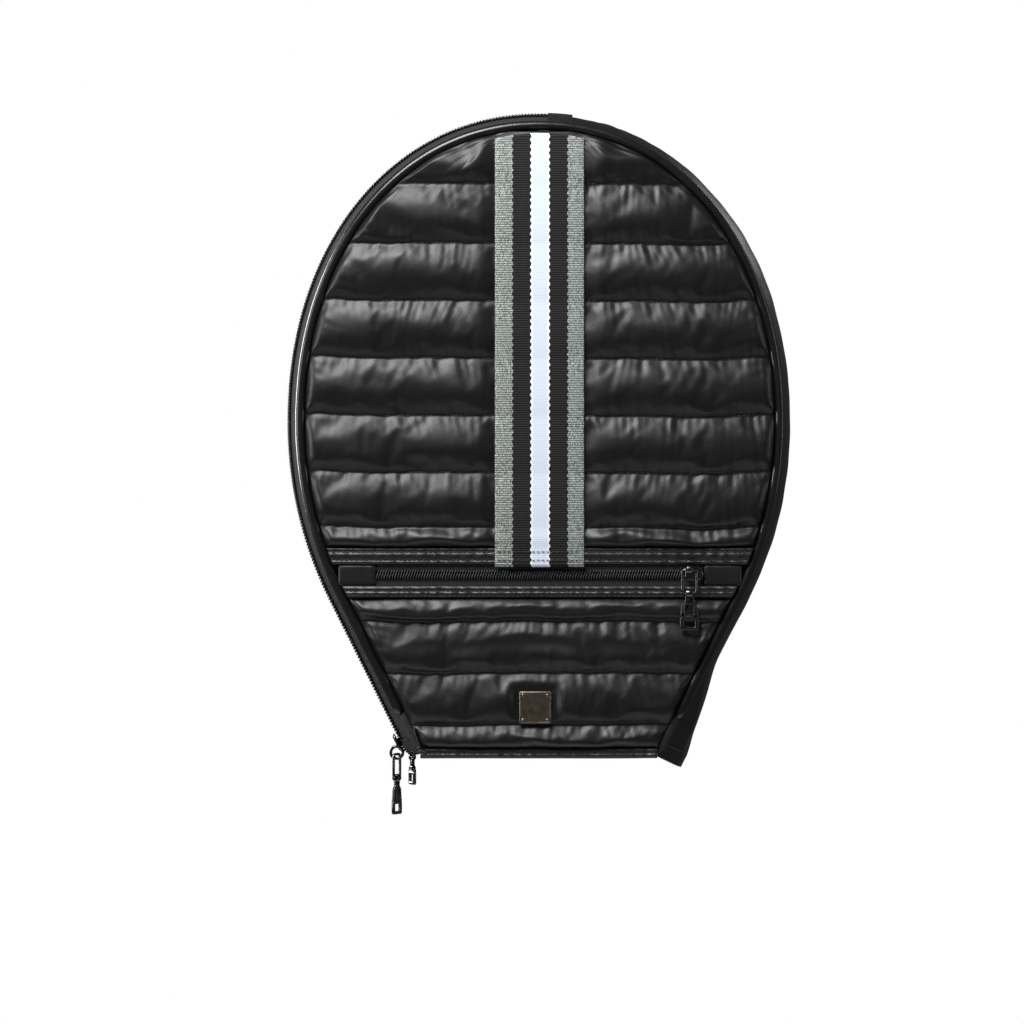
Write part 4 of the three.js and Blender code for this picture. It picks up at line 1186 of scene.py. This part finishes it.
class RACKETBAG_OT_gussets(bpy.types.Operator):
    """Builds the side gussets, the ends of the front seam and the hems at the mouth."""
    bl_idname = "racketbag.gussets"
    bl_label = "Gussets"

    def execute(self, context):
        for name, side, body in (("front_seam_end_right", 1, "shell"), ("front_seam_end_left", -1, "flap")):
            seam = rim_tube(name, -24.6, 9.4, 3.0, side * station_at(-190), side * station_at(-216.0),
                            step=1.0, seed=58, swell=0.12)
            finish_with(seam, "tape", body)
        right = rim_band("side_gusset_cloth", -GUSSET_EDGE - 1.4, GUSSET_EDGE + 1.2, 1.2, 0.02,
                         station_at(-212.5), step=2.6, cols=27, wrinkle=gusset_folds)
        finish_with(refine(right), "glossy_nylon", "shell", ("side_gusset",))

        def ripple(run, depth, station):
            wave = random_wave(run + 0.3 * depth, 54, 0.04, 0.4, 12)
            return 0.3 * wave * smooth((GUSSET_EDGE + 1 - np.abs(depth)) / 6)
        left = rim_band("left_gusset_cloth", 4.9, GUSSET_EDGE + 1.2, 1.2, -0.002, -station_at(-210.5),
                        step=3.0, cols=12, wrinkle=ripple)
        finish_with(refine(left), "glossy_nylon", "shell", ("left_gusset",))
        for node, side, high, low, front in (("gusset_hem_right", 1, -209.5, -218.5, -GUSSET_EDGE - 2),
                                             ("gusset_hem_left", -1, -209, -RIM_DROP, 4.9)):
            def spread(run, depth, station):
                outward = flare(station) if side > 0 else 0.0 * station
                wave = 0.3 * random_wave(depth + 0 * run, 57, 0.2, 0.9, 8)
                return outward * smooth((GUSSET_EDGE + 1 - np.abs(depth)) / 9) + wave
            hem = rim_band(node + "_fold", front, GUSSET_EDGE + 0.6, 2.2, side * station_at(high),
                           side * station_at(low), lift=0.7, step=1.0, cols=18, wrinkle=spread)
            finish_with(refine(hem), "hem_nylon", "shell", (node,))
        return {"FINISHED"}


class RACKETBAG_OT_cover_zip(bpy.types.Operator):
    """Builds the cover zip's tapes and teeth, and the patch over its top end."""
    bl_idname = "racketbag.cover_zip"
    bl_label = "Cover zip"

    def execute(self, context):
        tape_end = -station_at(-208.5)
        front = rim_band("cover_zip_tape_front", -GUSSET_EDGE - 0.6, ZIP_CENTRE - 1.6, 0.8, 0.024, tape_end,
                         step=3.0)
        finish_with(front, "tape", replaces=("cover_zip_front",))
        fold(front)
        back = rim_band("cover_zip_tape_back", ZIP_CENTRE + 1.6, 4.7, 0.8, 0.024, tape_end, step=3.0)
        finish_with(back, "tape", "shell", ("cover_zip_back",))
        for which, side, phase in (("front", -1, 0.0), ("back", 1, 0.5)):
            beads = rim_teeth(ZIP_CENTRE + side * 1.35, side, 0.022, tape_end, phase=phase)
            teeth = outwards(joined("cover_zip_teeth_" + which, [beads]))
            finish_with(teeth, "coil", None if side < 0 else "shell")
            if side < 0:
                fold(teeth)
        patch = rim_band("zip_top_patch_cloth", -22.0, 6.0, 1.1, 0.075, 0.017, lift=1.9, step=1.2, cols=12)
        finish_with(refine(patch), "hem_nylon", "shell", ("zip_top_patch",))
        return {"FINISHED"}


class RACKETBAG_OT_hems(bpy.types.Operator):
    """Builds the front and back hems along the mouth and the two linings."""
    bl_idname = "racketbag.hems"
    bl_label = "Hems and linings"

    def execute(self, context):
        front = panel_band("front_hem_fold", -RIM_DROP, HEM_TOP + 0.4, 30.0, 4.8, left=-76.8, right=75.4,
                           round_low=2.2, round_high=1.2, ripple=0.35, seed=61, sag=0.4, rows=16,
                           step=1.6, dips=(HEM_ROW,), pinch=0.9)
        finish_with(front, "hem_nylon", replaces=("front_hem",))
        fold(front)
        back = panel_band("back_hem_fold", -RIM_DROP, HEM_TOP + 0.2, 29.6, 4.4, facing=1, round_low=2.2,
                          round_high=1.2, seed=62, sag=0.3)
        finish_with(back, "hem_nylon", "shell", ("back_hem",))
        lining = panel_sheet("front_lining", -1, 22.9, -214.0, 186.0, 63)
        finish_with(lining, "lining", replaces=("front_lining_flap", "front_lining_fixed"))
        fold(lining)
        rear = panel_sheet("back_lining_sheet", 1, 22.9, -214.0, 186.0, 64)
        finish_with(rear, "lining", "shell", ("back_lining",))
        return {"FINISHED"}


def seam_row(seam, seed, low, high, facing, left, right, inset=PANEL_INSET + 1.5):
    """Points along a quilting seam: the seam's height with its wave, on the panel's crowned face."""
    x = np.arange(left, right, 2.0)
    width = float(half_width(np.array([seam]), inset)[0])
    x = x[np.abs(x) < width]
    ends = smooth((seam - low) / 8) * smooth((high - seam) / 8)
    edge = np.minimum(width + 1.5 - np.abs(x), 40)
    z = seam + seam_wave(x, seed) * ends * smooth(edge / 14 + 0.35)
    return np.stack([x, facing * (27.25 + 1.6 * smooth(edge / 40)), z], -1)


class RACKETBAG_OT_stitches(bpy.types.Operator):
    """Builds the rows of stitches on the front: along the welts, the hem and each seam."""
    bl_idname = "racketbag.stitches"
    bl_label = "Front stitching"

    def execute(self, context):
        lines = []
        for z in UPPER_WELT_ROWS:
            lines.append(level_row(z, -1, 30.75, right=-30))
            lines.append(level_row(z, -1, 30.75, left=30))
            lines.append(level_row(z, -1, 33.15, left=-27.5, right=28))
        for z in LOWER_WELT_ROWS:
            lines.append(level_row(z, -1, 31.1))
        lines.append(level_row(HEM_ROW, -1, 29.5, left=-75, right=68))
        for seam in SEAMS_UPPER:
            for left, right in ((-160, -30), (30, 160)):
                lines.append(seam_row(seam, UPPER_SEED, BAND_SEAM, 186, -1, left, right))
        for seam in SEAMS_LOWER:
            lines.append(seam_row(seam, LOWER_SEED, HEM_TOP, LOWER_QUILT_TOP, -1, -160, 160))
        front = outwards(joined("front_topstitching", [stitches(line, (0, -1, 0)) for line in lines]))
        finish_with(front, "thread")
        fold(front)
        return {"FINISHED"}


def level_loop(width, height, radius, arc, centre):
    """Points round a rectangle with round corners, back to the first, at one depth."""
    loop = rounded_loop(width, height, radius, arc)
    loop = np.vstack([loop, loop[:1]])
    return np.insert(loop, 1, 0.0, axis=1) + np.asarray(centre, float)


class RACKETBAG_OT_back(bpy.types.Operator):
    """Builds the quilted back panel and the strap yoke with its stitching. The yoke's face
    rises from its edge, dips along its stitch line and is rippled beside it."""
    bl_idname = "racketbag.back"
    bl_label = "Back panel"

    def execute(self, context):
        panel = quilt("back_panel_quilt", HEM_TOP + 0.3, PANEL_TOP, SEAMS_BACK, 1, round_top=True, cols=84,
                      seed=71, puff=size_mm("back_puff"))
        finish_with(panel, "glossy_nylon", "shell", ("back_panel",))
        half, low, high, stitch_inset = 66, 124.0, 168.0, 3.2
        middle = (low + high) / 2
        x, z = np.meshgrid(np.linspace(-half, half, 88), np.linspace(low, high, 34))
        inward = np.minimum(half - np.abs(x), np.minimum(z - low, high - z))
        lift = 0.6 * smooth(inward / 2.5) - 0.7 * np.exp(-(((inward - stitch_inset) / 1.1) ** 2))
        lift = lift + 1.5 * smooth((inward - 3) / 12)
        lift = lift + 0.35 * random_wave(x + 0.6 * z, 72, 0.08, 0.9, 14) * smooth((9 - inward) / 6)
        round_off = 1 - 0.035 * smooth((np.abs(z - middle) - 15) / 7) * smooth((np.abs(x) - 50) / 16)
        outer = np.stack([x * round_off, 33.4 + lift, z], -1)
        yoke = refine(shell("strap_yoke_patch", outer, outer - np.array([0, 1.6, 0])))
        finish_with(yoke, "hem_nylon", "shell", ("strap_yoke",))
        border = level_loop(125.4, 37.6, 3, 6, (0, 33.5, middle))
        seam = outwards(joined("yoke_topstitching", [stitches(border, (0, 1, 0))]))
        finish_with(seam, "thread", "shell")
        return {"FINISHED"}


def arch_path(count=30):
    """The hang loop's middle line in its own plane: two straight legs and a half circle."""
    leg = np.linspace(3, 16, 8)[:-1]
    t = np.linspace(0, math.pi, count)
    right = np.stack([np.full_like(leg, 19.0), leg], -1)
    over = np.stack([19.0 * np.cos(t), 16 + 19.0 * np.sin(t)], -1)
    left = np.stack([np.full_like(leg, -19.0), leg[::-1]], -1)
    return np.concatenate([right, over, left])


class RACKETBAG_OT_hang_loop(bpy.types.Operator):
    """Builds the hang loop: webbing sewn flat to the yoke at both ends, which turns a quarter
    round its own length on its way up to the arch."""
    bl_idname = "racketbag.hang_loop"
    bl_label = "Hang loop"

    def execute(self, context):
        tilt = math.radians(50)
        up = np.array([0, math.cos(tilt), math.sin(tilt)])
        wide = np.array([0, -math.sin(tilt), math.cos(tilt)])
        foot = HOOK - 34 * up
        flat = arch_path()
        arch = foot + flat[:, :1] * np.array([1.0, 0, 0]) + flat[:, 1:] * up
        sewn = smooth_path([(15.0, 35.6, 131.0), (15.2, 35.9, 140.0), (16.2, 36.6, 149.0), (18.6, 39.8, 156.6),
                            tuple(arch[0])], 26)[:-1]
        path = np.concatenate([sewn, arch, sewn[::-1] * np.array([-1.0, 1, 1])])
        ahead = np.gradient(path, axis=0)
        ahead /= np.linalg.norm(ahead, axis=1)[:, None]
        run = np.r_[0, np.cumsum(np.linalg.norm(np.diff(path, axis=0), axis=1))]
        turn = (math.pi / 2) * (1 - smooth((np.minimum(run, run[-1] - run) - 17) / 22))[:, None]
        side = np.where(path[:, :1] > 0, 1.0, -1.0) * np.array([1.0, 0, 0])
        across = np.cos(turn) * wide + np.sin(turn) * side
        rings = swept_points(path, across, np.cross(ahead, across), rounded_section(16.0, 2.0, 0.8))
        loop = tube("hang_loop_webbing", rings)
        finish_with(loop, "webbing", "shell", ("hang_loop",))
        boxes = [stitches(level_loop(11.6, 10.4, 0.6, 3, (x, 36.85, 139.0)), (0, 1, 0), lift=0.1)
                 for x in (-15.1, 15.1)]
        seam = outwards(joined("hang_loop_stitching", boxes))
        finish_with(seam, "thread", "shell")
        return {"FINISHED"}


def strap_frame(side):
    """A function that turns a strap's own coordinates into bag coordinates: the strap leans
    outwards by four degrees from its top."""
    lean = math.radians(-4 * side)
    c, s = math.cos(lean), math.sin(lean)

    def place(points):
        x, y, z = np.moveaxis(np.asarray(points, float), -1, 0)
        return np.stack([36.0 * side + c * x + s * z, y, 128.0 - s * x + c * z], -1)
    return place


def smooth_path(knots, count):
    """A smooth line through knots: cubic pieces whose slopes are the mean of their neighbours'."""
    knots = np.asarray(knots, float)
    t = np.linspace(0, len(knots) - 1, count)
    k = np.clip(t.astype(int), 0, len(knots) - 2)
    f = (t - k)[:, None]
    slope = np.gradient(knots, axis=0)
    a, b, da, db = knots[k], knots[k + 1], slope[k], slope[k + 1]
    start, end = 2 * f**3 - 3 * f**2 + 1, 3 * f**2 - 2 * f**3
    return start * a + (f**3 - 2 * f**2 + f) * da + end * b + (f**3 - f**2) * db


class RACKETBAG_OT_straps(bpy.types.Operator):
    """Builds both shoulder straps: a pad that is a superellipse carried along a curve, its piping,
    and the webbing, slide, ring and anchor at its foot."""
    bl_idname = "racketbag.straps"
    bl_label = "Straps"

    def execute(self, context):
        knots = [(35.6, 14), (36.6, 2), (44, -11), (55.5, -26), (64, -52), (68, -90), (65, -135), (58, -180),
                 (51, -214)]
        rows, sides, widest = 84, 40, 48
        for side, which in ((-1, "left"), (1, "right")):
            place = strap_frame(side)
            path, across, ahead = strap_line(smooth_path(knots, rows))
            outward = np.cross(ahead, across)
            outward *= np.sign(outward[:, 1:2] + 1e-9)
            run = np.linspace(0, 1, rows)
            end = np.sqrt(np.clip(np.minimum(run, 1 - run) / 0.03, 0.02, 1))
            width = widest * (1 - 0.12 * smooth((run - 0.86) / 0.14)) * end**0.5
            thick = size_mm("pad_half_thickness") * end
            t = np.arange(sides) * 2 * math.pi / sides
            wide = np.sign(np.cos(t)) * np.abs(np.cos(t)) ** 0.75
            high = np.sign(np.sin(t)) * np.abs(np.sin(t)) ** 1.1
            section = np.stack([wide[None] * (width / 2)[:, None] * 0.95, high[None] * thick[:, None]], -1)
            rings = place(swept_points(path, across, outward, section))
            pad = tube("shoulder_pad_%s_cloth" % which, rings)
            pins = np.tile(np.where(np.abs(np.cos(t)) > 0.985, 1.0, 0.0), rows)
            pins[:sides] = pins[-sides:] = 1.0
            inflate(pad, pins, pressure=3.0, grow=0.02, cap=2.5)
            refine(pad)
            finish_with(pad, "glossy_nylon", "shell", ("shoulder_pad_" + which,))
            edges = []
            for edge in (-1, 1):
                centre = path[2:-2] + edge * (width[2:-2, None] / 2 - 0.2) * across[2:-2]
                ring = place(swept_points(centre, across[2:-2], outward[2:-2], circle(1.5, 10)))
                edges.append(tube_arrays(ring))
            trim = outwards(joined("shoulder_pad_%s_piping" % which, edges))
            finish_with(trim, "piping", "shell")
            build_strap_foot(which, place)
        return {"FINISHED"}


def strap_line(line):
    """A line in the strap's yz plane as a path, with the directions across it and ahead."""
    path = np.stack([np.zeros(len(line)), line[:, 0], line[:, 1]], -1)
    ahead = np.gradient(path, axis=0)
    ahead /= np.linalg.norm(ahead, axis=1)[:, None]
    return path, np.broadcast_to(np.array([1.0, 0, 0]), path.shape), ahead


def webbing_strip(line, width=25.0, thick=1.6):
    """A flat strip of webbing carried along a line in the strap's yz plane."""
    path, across, ahead = strap_line(line)
    return swept_points(path, across, np.cross(ahead, across), rounded_section(width, thick, thick * 0.42))


def build_strap_foot(which, place):
    """The webbing below a pad, the ring at its end, the anchor loop and the slide. Both turns of
    the webbing are arcs round the ring's bars."""
    top, foot, turn_radius = np.array([49.6, -216.0]), np.array([37.5, -297.0]), 2.8
    bar = foot + np.array([0, -2.9])
    t = np.linspace(0.35, 2 * math.pi + 0.2, 22)
    curl = bar + turn_radius * np.stack([np.sin(t), np.cos(t)], -1)
    run = smooth_path([top, top * 0.66 + foot * 0.34, top * 0.34 + foot * 0.66,
                       foot + np.array([0.6, 4.0])], 30)
    web = tube("strap_webbing_%s_strip" % which, place(webbing_strip(np.concatenate([run, curl[:-4]]))))
    finish_with(web, "webbing", "shell", ("strap_webbing_" + which,))
    ring = offset(wire_arrays(32.0, 18.2, 2.6, 3.2), (0, foot[0], bar[1] - 7.8))
    ring = outwards(joined("strap_ring_%s_wire" % which, [(place(ring[0]), ring[1])]))
    finish_with(ring, "dark_nickel", "shell", ("strap_ring_" + which,))
    low = bar + np.array([0, -15.6])
    t = np.linspace(-0.2, math.pi + 1.1, 16)
    eye = low + turn_radius * np.stack([np.cos(t), np.sin(t)], -1)[::-1]
    tail = np.stack([np.full(5, 33.4), np.linspace(low[1] - 4, low[1] - 17, 5)], -1)
    front = np.stack([np.linspace(eye[-1][0], 36.0, 5), np.linspace(eye[-1][1] - 1.4, low[1] - 17, 5)], -1)
    strip = webbing_strip(np.concatenate([tail[::-1], eye, front]))
    strip = tube("strap_anchor_%s_loop" % which, place(strip))
    finish_with(strip, "webbing", "shell", ("strap_anchor_" + which,))
    slope = math.atan2(49.6 - 37.5, 79.0)
    middle = (np.array([49.6, -218.0]) + foot) / 2
    normal = np.array([0, math.cos(slope), -math.sin(slope)])
    up = np.array([0, math.sin(slope), math.cos(slope)])
    origin = np.array([0, middle[0], middle[1]]) + 1.2 * normal
    made = []
    for points, faces in slide_parts():
        p = origin + points[:, :1] * np.array([1.0, 0, 0]) + points[:, 1:2] * normal + points[:, 2:] * up
        made.append((place(p), faces))
    slide = outwards(joined("strap_slide_%s_frame" % which, made))
    finish_with(slide, "dark_nickel", "strap_slide_" + which, ("strap_slide_" + which,))


def slide_parts():
    """A strap slide: a wire frame and a bar across its middle."""
    frame = wire_arrays(32, 20, 2.6, 2.4)
    t = np.linspace(-14.6, 14.6, 12)
    path = np.stack([t, np.full_like(t, 0.3), np.zeros_like(t)], -1)
    across = np.broadcast_to(np.array([0.0, 1.0, 0.0]), path.shape)
    up = np.broadcast_to(np.array([0.0, 0.0, 1.0]), path.shape)
    bar = tube_arrays(swept_points(path, across, up, rounded_section(2.2, 3.2, 0.8)))
    return offset(frame, (0, 1.3, 0)), offset(bar, (0, 1.0, 0))


class RACKETBAG_OT_pocket_slider(bpy.types.Operator):
    """Builds the pocket's slider and its pull."""
    bl_idname = "racketbag.pocket_slider"
    bl_label = "Pocket slider"

    def execute(self, context):
        at = np.array([98.6, -30.2, POCKET_ZIP])
        lug_at = np.array([-3, -4.7, 3.4])
        plate = slider_arrays(12.0, 8.4, -0.5, 2.0)
        under = slider_arrays(12.0, 7.6, 4.2, 1.2)
        post = plate_arrays(rounded_loop(5.0, 0.9, 0.3, 3), [4.0, -1.0], [0, 0])
        lug, faces = lug_arrays(2.7, 1.5, 3.8)
        points = lug[:, [2, 1, 0]] + lug_at
        parts = [offset(a, at) for a in (plate, under, post, (points, faces))]
        obj = outwards(joined("pocket_slider_body", parts))
        finish_with(obj, "dark_nickel", "pocket_slider", ("pocket_slider",))
        pull_parts("pocket", at + lug_at, 0.0)
        return {"FINISHED"}


class RACKETBAG_OT_cover_slider(bpy.types.Operator):
    """Builds the cover zip's slider, the ring beside it, both pulls and the zip's end."""
    bl_idname = "racketbag.cover_slider"
    bl_label = "Cover sliders"

    def execute(self, context):
        x, z, _, _ = rim(np.array([-2.895]))
        foot = np.array([x[0], ZIP_CENTRE, z[0]])
        travel = np.array([-math.sin(TAPER), 0, math.cos(TAPER)])
        inward = np.array([math.cos(TAPER), 0, math.sin(TAPER)])
        side = np.array([0.0, 1.0, 0.0])
        crown = float(bulge(ZIP_CENTRE))

        def place(arrays):
            p, faces = arrays
            return foot + p[:, :1] * travel + p[:, 1:2] * inward + p[:, 2:] * side, faces
        plate = slider_arrays(12.0, 8.4, -2.7 + crown, 2.0)
        under = slider_arrays(12.0, 7.6, 4.2 + crown, 1.3)
        post = plate_arrays(rounded_loop(5.0, 0.9, 0.3, 3), [3.5 + crown, -3.4 + crown], [0, 0])
        lug_at = np.array([-5.6, -6.7 + crown, 0])
        lug = offset(lug_arrays(4.9, 2.9, 3.4), lug_at)
        obj = outwards(joined("cover_slider_body", [place(a) for a in (plate, under, post, lug)]))
        finish_with(obj, "dark_nickel", "cover_slider", ("cover_slider",))
        ring_at = np.array([-4.0, 6.2, 9.6])
        fold_back = plate_arrays(rounded_loop(8.0, 5.4, 1.0, 4), [1.0, 1.1, 1.7, 1.9], [0.4, 0, 0, 0.4])
        fold_back = offset(fold_back, (-2, 0, 9.6))
        ring = offset(lug_arrays(4.7, 3.0, 2.2), ring_at)
        obj = outwards(joined("cover_end_loop", [place(fold_back), place(ring)]))
        finish_with(obj, "dark_nickel", "shell", ("cover_end_ring",))
        below = np.array([0, 0, -1.1])
        pull_parts("cover", foot + lug_at[0] * travel + lug_at[1] * inward + below, math.radians(65))
        end = foot + ring_at[0] * travel + ring_at[1] * inward + ring_at[2] * side
        pull_parts("end", end + below, math.radians(108), 8.0, 9.0, 17.8)
        build_zip_end()
        return {"FINISHED"}


def build_zip_end():
    """The end of the front tape, turned under along the mouth: its coil follows a smooth line
    round the corner to a metal stop."""
    knots = [(-88.6, -10.3, -207.4), (-87.0, -11.6, -210.0), (-83.6, -15.0, -211.6), (-79.6, -20.5, -211.9),
             (-76.6, -26.5, -211.0)]
    path = smooth_path(knots, 60)
    ahead = np.gradient(path, axis=0)
    run = np.r_[0, np.cumsum(np.linalg.norm(np.diff(path, axis=0), axis=1))]
    at = np.arange(0, run[-1], 1.9)
    spot = np.stack([np.interp(at, run, path[:, k]) for k in range(3)], -1)
    along = np.stack([np.interp(at, run, ahead[:, k]) for k in range(3)], -1)
    along /= np.linalg.norm(along, axis=1)[:, None]
    up = np.broadcast_to(np.array([0.0, 0.0, 1.0]), along.shape)
    across = np.cross(up, along)
    across /= np.linalg.norm(across, axis=1)[:, None]
    unit, faces = bead(3.4, 1.3, 1.8, rings=5, sides=7)
    beads = repeated(unit, faces, spot, np.cross(along, across), across, along)
    obj = outwards(joined("cover_coil_end", [beads]))
    finish_with(obj, "coil", "flap")
    rows = np.linspace(0, 1, 7)[:, None, None]
    high = path + np.array([0.6, -0.4, 0.0]) + (path[:, :1] + 90) * np.array([0.0, -0.1, 0.0])
    reach = np.linspace(3.0, 16.0, 60)[:, None] * np.array([[-0.30, -0.12, 0.95]])
    sheet = high[None] * (1 - rows) + (high + reach)[None] * rows
    outer = sheet + np.array([0, -0.4, 0])
    obj = shell("cover_tape_end", outer, outer + np.array([0.3, 0.8, 0]))
    finish_with(obj, "tape", "flap")
    stop = plate_arrays(rounded_loop(6.4, 2.0, 0.9, 4), [-29.6, -29.9, -31.0, -31.3], [0.5, 0, 0, 0.5])
    obj = outwards(joined("zip_end_stop", [offset(tilted(stop, 25), (-75.6, 0, -209.6))]))
    finish_with(obj, "dark_nickel", "flap")


def tilted(arrays, degrees):
    """Points turned in x and z by an angle, with their faces."""
    c, s = math.cos(math.radians(degrees)), math.sin(math.radians(degrees))
    return arrays[0] @ np.array([[c, 0, -s], [0, 1, 0], [s, 0, c]]), arrays[1]


class RACKETBAG_OT_stage(bpy.types.Operator):
    """Builds the pale floor, the studio lights and the camera."""
    bl_idname = "racketbag.stage"
    bl_label = "Stage"

    def execute(self, context):
        scene = bpy.context.scene
        studio = scene.racket_bag_studio
        scene.view_settings.view_transform = "Standard"
        scene.view_settings.look = "None"
        disc = np.insert(circle(1.1, 64), 2, -1.3, axis=1)
        floor = mesh_object("floor", disc, [list(range(64))])
        pale = Material("pale_floor", (0.86, 0.86, 0.86), 0.6)
        speckle = pale.node("ShaderNodeTexNoise", {"Vector": pale.place, "Scale": 40.0})
        pale.to_shader(Normal=pale.bump(speckle.outputs[0], 0.0005))
        floor.data.materials.append(pale.material)
        for name, place, size, power, aim in (
                ("key", (-0.42, -0.78, 0.82), (0.7, 0.7), studio.key_power, (-0.02, -0.05, -0.15)),
                ("left_strip", (-1.9, -0.6, 0.2), (0.3, 1.5), 1.4 * studio.side_power, (0, -0.05, -0.2)),
                ("right_strip", (1.9, -0.6, 0.2), (0.3, 1.5), 0.4 * studio.side_power, (0, -0.05, -0.2)),
                ("back_left", (-1.5, 1.5, 0.1), (0.8, 1.0), 1.25 * studio.back_power, (0, 0, -0.2)),
                ("back_right", (1.2, 0.9, 0.7), (0.5, 0.5), 0.14 * studio.back_power, (0, 0, -0.2))):
            lamp = bpy.data.objects.new(name, bpy.data.lights.new(name, "AREA"))
            lamp.data.shape = "RECTANGLE"
            lamp.data.size, lamp.data.size_y = size
            lamp.data.energy = power
            scene.collection.objects.link(lamp)
            lamp.location = place
            lamp.rotation_euler = (Vector(aim) - Vector(place)).to_track_quat("-Z", "Y").to_euler()
        world = bpy.data.worlds.new("studio")
        world.use_nodes = True
        scene.world = world
        nodes, links = world.node_tree.nodes, world.node_tree.links
        seen = nodes.new("ShaderNodeLightPath")
        ambient = nodes["Background"]
        ambient.inputs[0].default_value = (1, 1, 1, 1)
        strength = nodes.new("ShaderNodeMapRange")
        strength.inputs["To Min"].default_value = 0.1
        strength.inputs["To Max"].default_value = 1.0
        links.new(seen.outputs["Is Camera Ray"], strength.inputs["Value"])
        links.new(strength.outputs[0], ambient.inputs["Strength"])
        camera = bpy.data.objects.new("camera", bpy.data.cameras.new("camera"))
        scene.collection.objects.link(camera)
        distance = round(studio.camera_distance, 5)
        camera.location = (-0.0179, -0.094 - distance, -0.2416)
        camera.rotation_euler = (math.pi / 2, 0, 0)
        camera.data.lens = SENSOR_WIDTH * distance / VIEW_WIDTH
        camera.data.clip_end = 60
        scene.camera = camera
        return {"FINISHED"}


PIECES = (
    RACKETBAG_OT_finishes,
    RACKETBAG_OT_front_quilts,
    RACKETBAG_OT_stripe,
    RACKETBAG_OT_pocket,
    RACKETBAG_OT_badge,
    RACKETBAG_OT_pipings,
    RACKETBAG_OT_gussets,
    RACKETBAG_OT_cover_zip,
    RACKETBAG_OT_hems,
    RACKETBAG_OT_stitches,
    RACKETBAG_OT_back,
    RACKETBAG_OT_hang_loop,
    RACKETBAG_OT_straps,
    RACKETBAG_OT_pocket_slider,
    RACKETBAG_OT_cover_slider,
    RACKETBAG_OT_stage,
)


class RACKETBAG_PT_sidebar(bpy.types.Panel):
    """Lists the bag's sizes, colours, lights and pieces"""
    bl_label = "Racket bag"
    bl_idname = "RACKETBAG_PT_sidebar"
    bl_space_type = "VIEW_3D"
    bl_region_type = "UI"
    bl_category = "Racket bag"

    def draw(self, context):
        scene = context.scene
        for title, group in (("Sizes", scene.racket_bag_sizes), ("Colours", scene.racket_bag_colours),
                             ("Studio", scene.racket_bag_studio)):
            box = self.layout.box()
            box.label(text=title)
            for name in type(group).__annotations__:
                box.prop(group, name)
        box = self.layout.box()
        box.label(text="Pieces")
        for piece in PIECES:
            box.operator(piece.bl_idname, text=piece.bl_label)


CLASSES = (BagSizes, BagColours, BagStudio, *PIECES, RACKETBAG_PT_sidebar)


def register():
    for cls in CLASSES:
        bpy.utils.register_class(cls)
    bpy.types.Scene.racket_bag_sizes = bpy.props.PointerProperty(type=BagSizes)
    bpy.types.Scene.racket_bag_colours = bpy.props.PointerProperty(type=BagColours)
    bpy.types.Scene.racket_bag_studio = bpy.props.PointerProperty(type=BagStudio)


def unregister():
    del bpy.types.Scene.racket_bag_studio
    del bpy.types.Scene.racket_bag_colours
    del bpy.types.Scene.racket_bag_sizes
    for cls in reversed(CLASSES):
        bpy.utils.unregister_class(cls)


def main():
    register()
    for piece in PIECES:
        getattr(bpy.ops.racketbag, piece.bl_idname.split(".")[1])()


if __name__ == "__main__":
    main()
